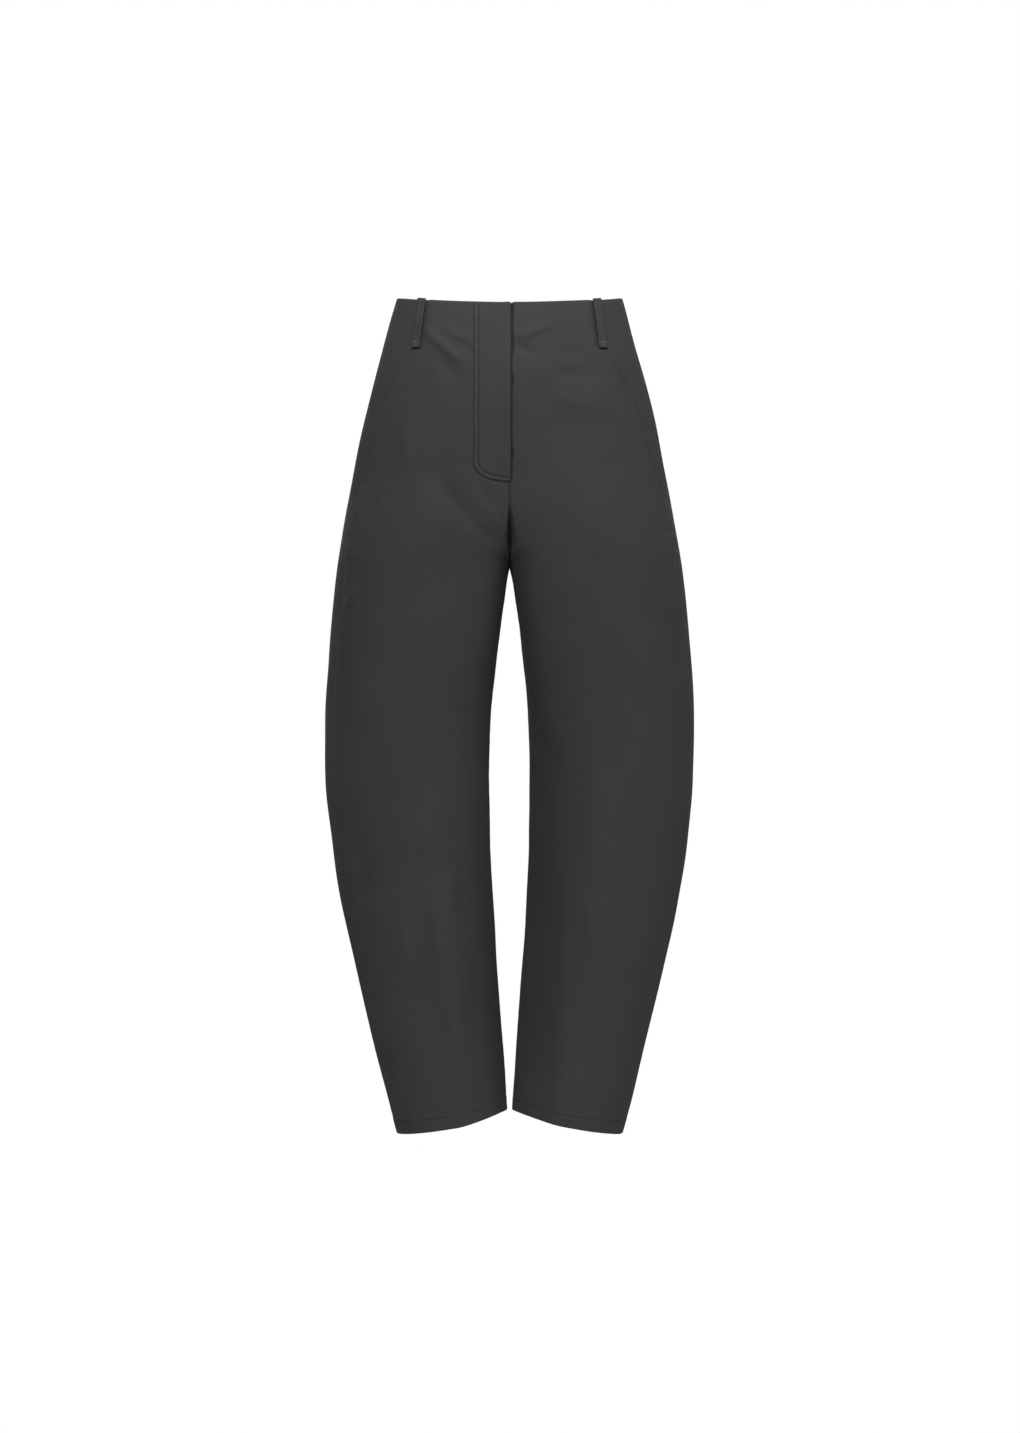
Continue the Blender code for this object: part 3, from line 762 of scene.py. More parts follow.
def panel_rows():
    """Rings evenly spaced, but closer by squares towards the fork, by halves at the two ends and
    where the stitching of the fly turns."""
    fly = np.arange(J_STRAIGHT_END - FLY_ROWS_ABOVE_TURN, LAP_END, FLY_ROW_PITCH)
    above_fly = fly[0] - ROW_PITCH
    above = np.linspace(EVEN_ROWS_FROM, above_fly, int(above_fly / ROW_PITCH))
    below = np.arange(LAP_END + FLY_ROWS_CLEAR, POCKET_END, ROW_PITCH)
    to_fork = np.arange(FORK_ROWS - 1, -1, -1) / FORK_ROWS
    fork = FORK - (FORK - POCKET_END) * to_fork**2
    foot = LENGTH - HEM_STITCH - HEM_ROWS_ABOVE
    leg = np.linspace(FORK, foot, int((foot - FORK) / ROW_PITCH))[1:]
    turn = np.linspace(foot, LENGTH - HEM_ROWS_END, HEM_ROWS)[1:]
    trunk = np.concatenate([TOP_ROWS, above, fly, below, [POCKET_END]])
    return np.concatenate([trunk, fork, leg, turn, LENGTH - LAST_ROWS])


RINGS = panel_rows()
print(len(RINGS), "rows of", INNER_COLUMNS[1] + 2 * len(EDGE_STEPS), "points on a front")


def unsheared(inner, outer, share):
    """The inner seam turns sharply at the fork. Only the columns up to the hinge follow it there,
    and the others keep to an inner angle that eases to that of the legs."""
    eased = ease((RINGS - FORK + TURN_LENGTH) / TURN_LENGTH)
    calm = inner + (inner[-1] - inner) * eased
    hinge = (calm + (outer - calm) * HINGE)[:, None]
    near = inner[:, None] + (hinge - inner[:, None]) * share / HINGE
    far = hinge + (outer[:, None] - hinge) * (share - HINGE) / (1 - HINGE)
    return np.where(share < HINGE, near, far)


def evenly(first, last, count):
    """A number of even steps between two columns, without the columns themselves."""
    return first[:, None] + (last - first)[:, None] * np.linspace(0, 1, count + 2)[1:-1]


def panel_angles(side, face):
    """Angles of the grid: edge columns at fixed distances from both seams, even ones between. The
    wearer's right front has close columns where the stitching of the fly runs down."""
    inner, outer = panel_ends(RINGS, face)
    shares = np.linspace(0, 1, COARSE_COLUMNS)
    points = skin(side, inner[:, None] + (outer - inner)[:, None] * shares, RINGS[:, None])[0]
    reach = row_lengths(points)
    edge = EDGE_STEPS[None, :] / reach[:, -1:]
    low, high = edge[:, -1], 1 - edge[:, -1]
    if face > 0 and side < 0:
        fly = np.stack([np.interp(FLY_COLUMNS, row, shares) for row in reach])
        before = evenly(low, fly[:, 0], COLUMNS_BEFORE_FLY)
        after = evenly(fly[:, -1], high, INNER_COLUMNS[face] - len(FLY_COLUMNS))
        between = np.concatenate([before, fly, after], axis=1)
    else:
        between = evenly(low, high, INNER_COLUMNS[face])
    return unsheared(inner, outer, np.concatenate([edge, between, 1 - edge[:, ::-1]], axis=1))


# %% Relief along the edges of a panel
EDGE_ROUNDING = (-0.7, 0.9)
WAIST_IMPRINT = 56.0
WAIST_FACING_RISE = 0.10
WAIST_FACING_STEP = 8.0
WAIST_GROOVE = (-0.16, 2.2)
WAIST_PATCH_LENGTH = 23.0
RING_SHARE = 0.3
HEM_RISE = 0.35
HEM_STEP = 3.0
HEM_DRAWN = (0.22, 6.0)
HEM_GROOVE = (-0.25, 0.9)
LAP = 1.2
LAP_BAND = (1.8, 7.0)
LAP_EDGE = (-0.5, 0.5)
LAP_GROOVE = (-0.45, 0.6)
LAP_GROOVE_IN = 2.3
UNDERLAP_SINK = 3.3
UNDERLAP_REACH = 3.0
GAPE_WIDENS = 0.25
FLY_GAPES = table(("down", "length", "depth"), [
    (14.0, 22.0, 3.0),
    (52.0, 14.0, 3.2),
    (66.0, 6.0, 2.4),
    (108.0, 8.0, 3.0),
    (196.0, 6.0, 3.2),
])
INNER_PUCKER = 0.7
SIDE_PUCKER = 1.2
SIDE_PUCKER_MORE = 6.5
SIDE_PUCKER_DOWN = 308.0
SIDE_PUCKER_REACH = 75.0
MOUTH_RISE = 0.5
MOUTH_BAND = 6.5
MOUTH_STEP = 3.0
MOUTH_EDGE = (-0.6, 0.5)
MOUTH_STITCH = 6.0
MOUTH_GROOVE = (-0.35, 0.9)
MOUTH_DRAWN = (0.45, 5.0)


def hem_and_waist_relief(rings, reach):
    """A rounded waist edge, the faint print of the waist facing, and the ridge of the hem."""
    along = reach + RING_SHARE * rings
    from_hem = LENGTH - rings
    edge = bump(rings, EDGE_ROUNDING) + bump(from_hem, EDGE_ROUNDING)
    facing = WAIST_FACING_RISE * step_down(rings, WAIST_IMPRINT, WAIST_FACING_STEP)
    patchy = 0.5 + 0.5 * np.sin(along / WAIST_PATCH_LENGTH)
    imprint = patchy * bump(rings - WAIST_IMPRINT, WAIST_GROOVE)
    turned = HEM_RISE * (1 - ease((from_hem - TURN_UP) / HEM_STEP))
    drawn = drawn_up(from_hem - HEM_STITCH, along, 3.0, HEM_DRAWN)
    return edge + facing + imprint + turned + drawn + bump(from_hem - HEM_STITCH, HEM_GROOVE)


def underlap_sink(to_inner, along):
    """How deep the left front lies beside the lapped edge. It gapes in a few uneven places."""
    gape = np.zeros_like(along)
    for place, length, depth in zip(*FLY_GAPES.values()):
        gape += depth * bell(along - place, length)
    reach = UNDERLAP_REACH * (1 + GAPE_WIDENS * gape)
    return -(UNDERLAP_SINK + gape) * (1 - ease((to_inner - LAP) / reach))


def inner_relief(to_inner, along, side, seed, on_fly):
    """The sewn centre seam or inseam, and along the fly the lapped edge or the underlap."""
    sewn = seam_relief(to_inner, along, seed, INNER_PUCKER)
    if side < 0:
        lap = bump(to_inner, LAP_BAND) + bump(to_inner, LAP_EDGE)
        free = lap + bump(to_inner - LAP_GROOVE_IN, LAP_GROOVE)
    else:
        free = underlap_sink(to_inner, along)
    return sewn * (1 - on_fly) + free * on_fly


def outer_relief(to_outer, along, seed, mouth):
    """The sewn side seam, most puckered near the level of the fork, and above it the free edge of
    the pocket mouth with a row of stitches."""
    pucker = SIDE_PUCKER + SIDE_PUCKER_MORE * bell(along - SIDE_PUCKER_DOWN, SIDE_PUCKER_REACH)
    sewn = seam_relief(to_outer, along, seed + 2, pucker)
    edge = MOUTH_RISE * step_down(to_outer, MOUTH_BAND, MOUTH_STEP) + bump(to_outer, MOUTH_EDGE)
    groove = bump(to_outer - MOUTH_STITCH, MOUTH_GROOVE)
    drawn = drawn_up(to_outer - MOUTH_STITCH, along, seed + 5, MOUTH_DRAWN)
    return sewn * (1 - mouth) + (edge + groove + drawn) * mouth


print("the fly gapes in", len(FLY_GAPES["down"]), "places")

# %% Building a panel
PANELS = {}
FLY_FADE = 6.0
MOUTH_FADE = 12.0
SEAM_HALF_GAP = 0.04
SEAM_ANGLE_STEP = 1e-3
SEAM_PULL_REACH = 4.0
SEAM_WANDER = {1: -0.3, -1: 0.3}
WANDER_REACH = 6.0
SEAM_MEETING = 0.8
UNDERLAP_CLEAR = 0.15
LAP_REACH = 2.5
CROTCH_TOP = 254.0
CROTCH_START = 0.15
FORK_EARLY = 1.5
CROTCH_SINK = 0.30
CROTCH_REACH = {1: 9.0, -1: 6.5}
TURN_UP_STEP = 1.5
WAIST_THINNED = 0.45
HEM_THINNED = 0.4
THINNED_REACH = 0.6
EDGE_WEAR = 0.08
EDGE_WEAR_REACH = 0.9
END_WEAR = 0.12
END_WEAR_REACH = 1.2
BEAD_WEAR_AND_HIGHLIGHT = 0.14
WEAR_PATCHES = 0.3


def panel_wall(along):
    """One cloth, and more at the turned-up hem, thinned to round off the waist edge and the hem."""
    wall = WALL + (TURN_UP_WALL - WALL) * ease((along - LENGTH + TURN_UP) / TURN_UP_STEP)
    at_waist = 1 - WAIST_THINNED * bell(along, THINNED_REACH)
    return wall * at_waist * (1 - HEM_THINNED * bell(LENGTH - along, THINNED_REACH))


def panel_wear_and_highlight(to_inner, to_outer, along, on_fly, bead, seed):
    """Rubbed free edges and ends, and a fly bead paler partly from rubbing and partly as painted
    highlight, a little more in some places than in others.
    """
    free = np.minimum(to_outer, np.where(on_fly > 0.5, to_inner, np.inf))
    ends = np.exp(-along / END_WEAR_REACH) + np.exp(-(LENGTH - along) / END_WEAR_REACH)
    # The fly bead's share is partly rubbing and partly a painted highlight on the raised ridge.
    rub_and_highlight = EDGE_WEAR * np.exp(-free / EDGE_WEAR_REACH) + END_WEAR * ends + BEAD_WEAR_AND_HIGHLIGHT * bead
    patches = 1 - WEAR_PATCHES + WEAR_PATCHES * uneven(along + to_inner, seed)
    return np.clip(rub_and_highlight * patches, 0, 1)


def sink_crotch(points, side, to_inner, along):
    """Between the fly and the fork the front's edge lies deeper, which leaves a dark fold."""
    share = np.clip((along - CROTCH_TOP) / (FORK - CROTCH_TOP), 0, 1)
    reach = CROTCH_REACH[side] * (CROTCH_START + (1 - CROTCH_START) * share)
    points[..., 1] *= 1 - CROTCH_SINK * ease(share * FORK_EARLY) * bell(to_inner, reach, 4)


def panel(name, side, face):
    """Skin plus relief, with the first and last columns drawn to just beside their seams. Slant
    moves the outer edge of a centre seam to one side and the inner edge to the other."""
    rings = RINGS[:, None]
    angles = panel_angles(side, face)
    points, outward = skin(side, angles, rings)
    reach = row_lengths(points)
    to_inner, to_outer = reach, reach[:, -1:] - reach
    along = np.broadcast_to(rings, reach.shape)
    on_fly = ease((LAP_END - along) / FLY_FADE) if face > 0 else np.zeros_like(along)
    mouth = ease((POCKET_END - along) / MOUTH_FADE) if face > 0 else np.zeros_like(along)
    laps = face > 0 and side < 0
    seed = side * 1.3 + face * 0.7
    height = inner_relief(to_inner, along, side, seed, on_fly) + loop_dent(points, along, face)
    height = height + outer_relief(to_outer, along, seed, mouth) + hem_and_waist_relief(along, reach)
    bead = np.zeros_like(along)
    if laps:
        relief, bead = fly_relief(points, along)
        height = height + relief
    if face < 0:
        height = height + dart_relief(points, along)
    points = points + outward * height[..., None]
    before, after = (skin(side, angles + a, rings)[0] for a in (-SEAM_ANGLE_STEP, SEAM_ANGLE_STEP))
    step = unit(after - before)
    turn = np.sign(angles[:, -1] - angles[:, 0])[:, None]
    points[:, 0] += step[:, 0] * turn * SEAM_HALF_GAP
    points[:, -1] -= step[:, -1] * turn * SEAM_HALF_GAP
    over = side * points[..., 0]
    astray = np.where(rings <= FORK, over[:, :1] - SEAM_HALF_GAP, 0)
    floor = SEAM_HALF_GAP + on_fly * (UNDERLAP_CLEAR if side > 0 else 0.0)
    points[..., 0] = side * np.maximum(over - astray * bell(to_inner, SEAM_PULL_REACH), floor)
    above_fork = (along <= FORK) * (1 - on_fly)
    slant = SEAM_WANDER[face] * above_fork * bell(to_inner, WANDER_REACH)
    points[..., 0] += slant
    if face > 0:
        sink_crotch(points, side, to_inner, along)
    if laps:
        points[..., 0] += LAP * on_fly * bell(to_inner, LAP_REACH)
    inner = points - outward * panel_wall(along)[..., None]
    clear = np.where(on_fly > 0, -LAP * 2 if laps else SEAM_HALF_GAP, SEAM_HALF_GAP)
    beyond, within = side * (points[..., 0] - slant), side * (inner[..., 0] - slant)
    meeting = above_fork * bell(to_inner, SEAM_MEETING)
    within = within + meeting * np.minimum(beyond - within, 0)
    inner[..., 0] = side * np.maximum(within, clear) - slant
    PANELS[name] = {"outer": points, "normals": grid_normals(points, outward), "girth": reach[:, -1]}
    wear_and_highlight = panel_wear_and_highlight(to_inner, to_outer, along, on_fly, bead, seed)
    thing = shell(name + "_cloth", points, inner, CLOTH, wear_and_highlight)
    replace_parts(thing, name)
    return thing


# %% [markdown]
# ## The fly's stitching and the back darts
#
# Two rows of stitches shaped like a J hold the fly facing. They run down beside the opening and
# curve to its foot, and the cloth stands up a little between them. A dart is a long narrow pinch
# that takes in the waist. Each back has one, because the hips are so much rounder than the waist.

# %% Fly and dart relief
J_ROWS = (43.4, 37.3)
J_ENDS = (229.0, 223.0)
J_TOP = 1.5
J_MARGIN = 14.0
J_HALF_APART = 3.05
J_BEAD_WIDTH = 1.2
J_BEAD_RISE = 0.7
J_GROOVES = ((-1.35, 1.05), (-1.1, 1.0))
J_DRAWN = (0.36, 6.0)
FACING_GROOVE = (-0.7, 1.8)
FACING_FADES = (8.0, 4.0)
FACING_PAST_J = 3.0
LOOP_LENGTH = 63.0
FRONT_LOOP_TOP_X = 104.5
FRONT_LOOP_END_X = 112.0
BACK_LOOP_X = 82.0
DENT_DEPTH = 2.2
DENT_REACH = 8.5
DENT_PAST_LOOP = 3.0
DENT_FADE = 5.0
DART_X = 82.0
DART_SLANT = 0.05
DART_GROOVE = (-0.9, 1.0)
DART_SIDES = (0.25, 6.0)
DART_LENGTH = 96.0


def j_line(width, end, count=260):
    """Down at a fixed distance from the middle, then a quarter of an ellipse to the middle."""
    straight = np.linspace(J_TOP, J_STRAIGHT_END, count // 2)
    turn = np.linspace(0, np.pi / 2, count // 2)[1:]
    x = np.concatenate([np.full(len(straight), width), width * np.cos(turn)])
    down = np.concatenate([straight, J_STRAIGHT_END + (end - J_STRAIGHT_END) * np.sin(turn)])
    return -x, down


def distance_to(line, x, down):
    """The shortest distance in the front view from each point to a line of points."""
    dx = x[..., None] - line[0]
    dz = down[..., None] - line[1]
    return np.sqrt(dx**2 + dz**2).min(axis=-1)


def fly_relief(points, along):
    """Heights with a groove under each row and a ridge half way between, and the ridge alone, from
    0 to 1, for its paler colour, partly rubbing and partly painted highlight."""
    x = points[..., 0]
    near = (x > -J_ROWS[0] - J_MARGIN) & (along < J_ENDS[0] + J_MARGIN)
    height, ridge = np.zeros_like(x), np.zeros_like(x)
    outer, inner = (distance_to(j_line(*row), x[near], along[near]) for row in zip(J_ROWS, J_ENDS))
    bead = bell(np.maximum(outer, inner) - J_HALF_APART, J_BEAD_WIDTH)
    grooves = bump(outer, J_GROOVES[0]) + bump(inner, J_GROOVES[1])
    pull = drawn_up(outer, along[near] + x[near], 4.1, J_DRAWN)
    fade_out = ease((x[near] + J_ROWS[0] + J_MARGIN) / FACING_FADES[0])
    fade_in = ease((-x[near] - J_ROWS[1] + FACING_PAST_J) / FACING_FADES[1])
    facing = bump(along[near] - WAIST_IMPRINT, FACING_GROOVE) * fade_out * fade_in
    height[near] = J_BEAD_RISE * bead + grooves + pull + facing
    ridge[near] = bead
    return height, ridge


def loop_dent(points, along, face):
    """The cloth is pressed in beneath each belt loop, by a bell with a flat top across the loop."""
    share = along / LOOP_LENGTH
    far = np.abs(points[..., 0])
    if face > 0:
        away = far - FRONT_LOOP_TOP_X - (FRONT_LOOP_END_X - FRONT_LOOP_TOP_X) * share
    else:
        away = np.minimum(np.abs(far - BACK_LOOP_X), far)
    shown = ease((LOOP_LENGTH + DENT_PAST_LOOP - along) / DENT_FADE)
    return -DENT_DEPTH * shown * bell(away, DENT_REACH, 4)


def dart_relief(points, along):
    """A narrow groove that fades to nothing at the dart's point."""
    away = np.abs(np.abs(points[..., 0]) - DART_X - DART_SLANT * along)
    fade = ease((DART_LENGTH - along) / DART_LENGTH)
    return (bump(away, DART_GROOVE) + bump(away, DART_SIDES)) * fade


print("the J is", J_ROWS[0], "mm wide and", J_ENDS[0], "mm long")

# %% Make the fronts and backs
FACES = {"front": 1, "back": -1}
SIDES = {"left": 1, "right": -1}
cloth_pieces = {}
for face_word, face in FACES.items():
    for side_word, side in SIDES.items():
        piece_name = face_word + "_" + side_word
        cloth_pieces[piece_name] = panel(piece_name, side, face)
        print(piece_name, "has", len(cloth_pieces[piece_name].data.polygons), "faces")

# %% [markdown]
# ## Pockets
#
# Behind each slanted mouth lies the hip piece. It passes under the front and comes up to the back
# at the side seam. The bag hangs inside, a flat pouch of thinner cloth, round at its foot.

# %% Hip pieces and pocket bags
HIP_ROWS = 110
HIP_TOP_ROWS = np.array([0.0, 0.3, 0.8, 1.5])
HIP_EVEN_FROM = 2.5
HIP_COLUMNS = 26
HIP_UNDER = 1.0
HIP_UNDER_COLUMNS = 7
HIP_SUNK_AT = (0, 1 / 3, 2 / 3, 1)
HIP_SUNK_SHARE = (1, 0.8, 0.3, 0)
HIP_WEAR = 0.25
HIP_TOP_WEAR = 0.3
BAG_WALL = 1.4
BAG_TOP = 62.0
BAG_END = 300.0
BAG_ROUNDING = 42.0
BAG_ROWS = 70
BAG_COLUMNS = 54
BAG_PUFF = 0.35
BAG_PUFF_LENGTH = 19.0
BAG_BEHIND = 0.3
FRONT_SPLITS = 11
BAG_FIRST_SHARE = 3 / FRONT_SPLITS


def hip_piece(name, side):
    """Sunk behind the front by a wall and a gap, and eased up to the skin at the side seam."""
    rings = np.concatenate([HIP_TOP_ROWS, np.linspace(HIP_EVEN_FROM, POCKET_END, HIP_ROWS)])
    inner, outer = panel_ends(rings, 1)
    seam = seam_angle(SIDE_SEAM, rings)
    start = inner + (outer - inner) * (1 - HIP_UNDER / FRONT_SPLITS)
    beyond = np.linspace(0, 1, HIP_COLUMNS)
    under = np.linspace(0, 1, HIP_UNDER_COLUMNS + 1)[:-1]
    angles = np.concatenate([start[:, None] + (outer - start)[:, None] * under,
                             outer[:, None] + (seam - outer)[:, None] * beyond], axis=1)
    points, outward = skin(side, angles, rings[:, None])
    reach = row_lengths(points)
    away = reach[:, -1:] - reach
    along = np.broadcast_to(rings[:, None], reach.shape)
    shown = np.concatenate([np.zeros(len(under)), beyond])
    sunk = (WALL + LAYER_GAP) * np.interp(shown, HIP_SUNK_AT, HIP_SUNK_SHARE)[None, :]
    height = seam_relief(away, along, side * 2.2, SIDE_PUCKER) - sunk
    height = height + hem_and_waist_relief(along, reach)
    points = points + outward * height[..., None]
    points[:, -1] -= unit(points[:, -1] - points[:, -2]) * SEAM_HALF_GAP
    wear_and_highlight = HIP_WEAR * np.exp(-away) + HIP_TOP_WEAR * np.exp(-along / END_WEAR_REACH)
    thing = shell(name + "_cloth", points, points - outward * WALL, CLOTH, wear_and_highlight)
    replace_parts(thing, name)
    return thing


def pocket_bag(name, side):
    """Rows from the bag's top to a foot that rises towards both edges by a fourth power."""
    across = np.linspace(-1, 1, BAG_COLUMNS)
    down = np.linspace(0, 1, BAG_ROWS)[:, None]
    foot = BAG_END - BAG_ROUNDING * across**4
    rings = BAG_TOP + (foot - BAG_TOP) * down
    inner, outer = panel_ends(rings.ravel(), 1)
    share = BAG_FIRST_SHARE + (1 - BAG_FIRST_SHARE) * (across[None, :] + 1) / 2
    share = np.broadcast_to(share, rings.shape)
    angles = inner.reshape(rings.shape) + (outer - inner).reshape(rings.shape) * share
    points, outward = skin(side, angles, rings)
    edge = np.minimum(1 - np.abs(across)[None, :], down[::-1])
    puffed = BAG_PUFF * np.sin(rings / BAG_PUFF_LENGTH + across * 4) * ease(edge * 6)
    sunk = 2 * WALL + 2 * LAYER_GAP + BAG_BEHIND
    outside = points - outward * (sunk - 0.2 * puffed)[..., None]
    inside = points - outward * (sunk + BAG_WALL - 0.5 * puffed)[..., None]
    thing = shell(name + "_cloth", outside, inside, POCKETING)
    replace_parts(thing, name)
    return thing


for side_word, side in SIDES.items():
    cloth_pieces["hip_piece_" + side_word] = hip_piece("hip_piece_" + side_word, side)
    cloth_pieces["pocket_bag_" + side_word] = pocket_bag("pocket_bag_" + side_word, side)
print("pockets:", [name for name in cloth_pieces if "pocket" in name or "hip" in name])

# %% [markdown]
# ## Behind the fly
#
# The facing lies behind the lapped edge, then comes the closed zip, and last the shield that
# keeps the zip off the skin. They can be seen only from above or inside, but the teeth and the
# slider are there, because a zip is what such a fly closes with.

# %% Facing, shield and zip
FLY_WIDTH = 41.0
FLY_END = 222.0
FLY_STRAIGHT_END = 196.0
STRIP_ROWS = 80
STRIP_COLUMNS = 26
FACING_WALL = 1.0
FACING_EDGE = 0.5
TOP_MARGIN = 1.0
SHIELD_WIDTH = 35.0
SHIELD_PAST_MIDDLE = 8.0
SHIELD_PAST_ZIP = 8.0
SHIELD_ROOM = 0.5
ZIP_MIDDLE = -9.0
ZIP_TAPE_WIDTH = 26.0
ZIP_TOP = 14.0
ZIP_END = 190.0
ZIP_WALL = 1.0
ZIP_ROOM = 0.9
ZIP_SUNK = WALL + LAYER_GAP + FACING_WALL + LAYER_GAP + ZIP_ROOM
TAPE_COLUMNS = 27
TAPE_ROWS = 90
TAPE_INSET = 0.1
CORD = (0.25, 0.7)
CORD_ASIDE = 2.2
TOOTH_PITCH = 1.7
TOOTH_SIZE = (3.0, 0.9, 1.1)
TOOTH_ASIDE = 0.8
TOOTH_LIFT = 0.15
TEETH_FROM_TOP = 14.0
TEETH_FROM_END = 4.0
SLIDER_PARTS = (
    (22.0, 0.0, (8.0, 10.0, 1.5)),
    (20.0, 0.7, (3.0, 5.0, 0.5)),
    (26.0, 0.65, (4.2, 2.0, 0.4)),
)


def strip(name, x, rings, sunk, wall, material):
    """A strip behind the front: both of its faces are sunk below the skin."""
    points, outward = skin_at(x, rings, 1)
    return shell(name, points - outward * sunk, points - outward * (sunk + wall), material)


def fly_facing():
    """The facing's foot is the J: a straight side, then a quarter of an ellipse."""
    x = -np.linspace(FACING_EDGE, FLY_WIDTH, STRIP_COLUMNS)
    foot = FLY_STRAIGHT_END + (FLY_END - FLY_STRAIGHT_END) * np.sqrt(1 - (x / FLY_WIDTH) ** 2)
    rings = TOP_MARGIN + (foot - TOP_MARGIN) * np.linspace(0, 1, STRIP_ROWS)[:, None]
    return strip("fly_facing_cloth", x, rings, WALL + LAYER_GAP, FACING_WALL, CLOTH)


def fly_shield():
    """A straight strip behind the zip."""
    x = np.linspace(-SHIELD_WIDTH, SHIELD_PAST_MIDDLE, STRIP_COLUMNS)
    rings = np.linspace(TOP_MARGIN, ZIP_END + SHIELD_PAST_ZIP, STRIP_ROWS)[:, None]
    sunk = ZIP_SUNK + ZIP_WALL + SHIELD_ROOM + LAYER_GAP
    return strip("fly_shield_cloth", x, rings, sunk, WALL, CLOTH)


def zip_tape():
    """A thin woven strip with a corded middle."""
    steps = np.linspace(-ZIP_TAPE_WIDTH / 2, ZIP_TAPE_WIDTH / 2, TAPE_COLUMNS)
    rings = np.linspace(ZIP_TOP, ZIP_END, TAPE_ROWS)[:, None]
    cord = bump(np.abs(steps) - CORD_ASIDE, CORD)[None, :, None]
    return strip("zip_tape", ZIP_MIDDLE + steps[None, :], rings, ZIP_SUNK + TAPE_INSET - cord,
                 ZIP_WALL - 2 * TAPE_INSET + cord, TAPE)


def blocks(name, centres, across, along, outward, size, material, slot):
    """Many small eight-cornered blocks, each a box whose outer face is drawn in by a quarter."""
    corner = np.array([(x, y, z) for z in (-0.5, 0.5) for y in (-0.5, 0.5) for x in (-0.5, 0.5)])
    corner[:, :2] *= np.where(corner[:, 2:] > 0, 0.75, 1.0)
    local = corner * np.array(size)
    points = (centres[:, None] + local[None, :, :1] * across[:, None]
              + local[None, :, 1:2] * along[:, None] + local[None, :, 2:] * outward[:, None])
    box = np.array([(0, 2, 3, 1), (4, 5, 7, 6), (0, 1, 5, 4),
                    (2, 6, 7, 3), (0, 4, 6, 2), (1, 3, 7, 5)])
    faces = (box[None] + 8 * np.arange(len(centres))[:, None, None]).reshape(-1, 4)
    flat = points.reshape(-1, 3)
    return mesh_object(name, flat, faces, flat[:, [0, 2]], material)


def along_line(x, ring, lift):
    """Centres and three directions along a line of the front view, lifted off the skin."""
    points, outward = skin_at(x, ring, 1)
    along = unit(np.gradient(points, axis=0))
    across = np.cross(along, outward)
    return points + outward * lift, across, along, outward


def zip_teeth():
    """Teeth from both sides take turns, each half a pitch below the last and a little aside."""
    rings = np.arange(ZIP_TOP + TEETH_FROM_TOP, ZIP_END - TEETH_FROM_END, TOOTH_PITCH / 2)
    side = np.where(np.arange(len(rings)) % 2 == 0, TOOTH_ASIDE, -TOOTH_ASIDE)
    line = along_line(ZIP_MIDDLE + side, rings, -ZIP_SUNK + TOOTH_LIFT)
    return blocks("zip_teeth", *line, TOOTH_SIZE, METAL, "zip")


def zip_slider():
    """A body, a bridge on it and a flat tab that hangs down from the bridge."""
    made = []
    for ring, lift, size in SLIDER_PARTS:
        around = ring + np.array([-1, 0, 1.0])
        line = along_line(np.full(3, ZIP_MIDDLE), around, -ZIP_SUNK + lift)
        middle = [rows[1:2] for rows in line]
        made.append(blocks("zip_slider_part", *middle, size, METAL, "zip"))
    with bpy.context.temp_override(active_object=made[0], selected_editable_objects=made):
        bpy.ops.object.join()
    made[0].name = "zip_slider"
    return made[0]


cloth_pieces["fly_facing"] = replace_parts(fly_facing(), "fly_facing")
cloth_pieces["fly_shield"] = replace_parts(fly_shield(), "fly_shield")
cloth_pieces["zip_tape"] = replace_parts(zip_tape(), "zip")
zip_parts = [zip_teeth(), zip_slider()]
print("zip teeth:", len(zip_parts[0].data.polygons) // 6)

# %% [markdown]
# ## Belt loops
#
# A belt loop is a folded strip, sewn to the waist edge above and folded under at its foot. It
# arches off the cloth between the two, and the fold makes its foot a small hard block. A row of
# stitches runs down beside each edge.

# %% Belt loops
LOOP_WIDTH = 13.0
LOOP_WALL = 1.8
LOOP_ARCH = 1.6
LOOP_END_WALL = 3.2
LOOP_END = 9.0
LOOP_ABOVE_WAIST = 1.0
LOOP_GAP = 0.4
LOOP_ROWS = 44
LOOP_END_ROWS = 14
LOOP_COLUMNS = 27
LOOP_ROW_GAP = 0.5
LOOP_FOLD = 2.0
LOOP_THINNED = 0.7
LOOP_LEAST = 0.5
LOOP_GROOVE = (-0.25, 0.6)
LOOP_FOOT_ROUNDING = (-0.9, 0.7)
LOOP_TOP_ROUNDING = (-0.4, 0.7)
LOOP_WOBBLE = 0.12
LOOP_EDGE_WEAR = 0.05
LOOP_FOOT_WEAR_AND_HIGHLIGHT = 0.5
LOOPS = {
    "belt_loop_front_left": (FRONT_LOOP_TOP_X, FRONT_LOOP_END_X, 1),
    "belt_loop_front_right": (-FRONT_LOOP_TOP_X, -FRONT_LOOP_END_X, 1),
    "belt_loop_back_left": (BACK_LOOP_X, BACK_LOOP_X, -1),
    "belt_loop_back_right": (-BACK_LOOP_X, -BACK_LOOP_X, -1),
    "belt_loop_centre": (0.0, 0.0, -1),
}
LOOP_STITCH_INSET = 2.3
loop_grids = {}


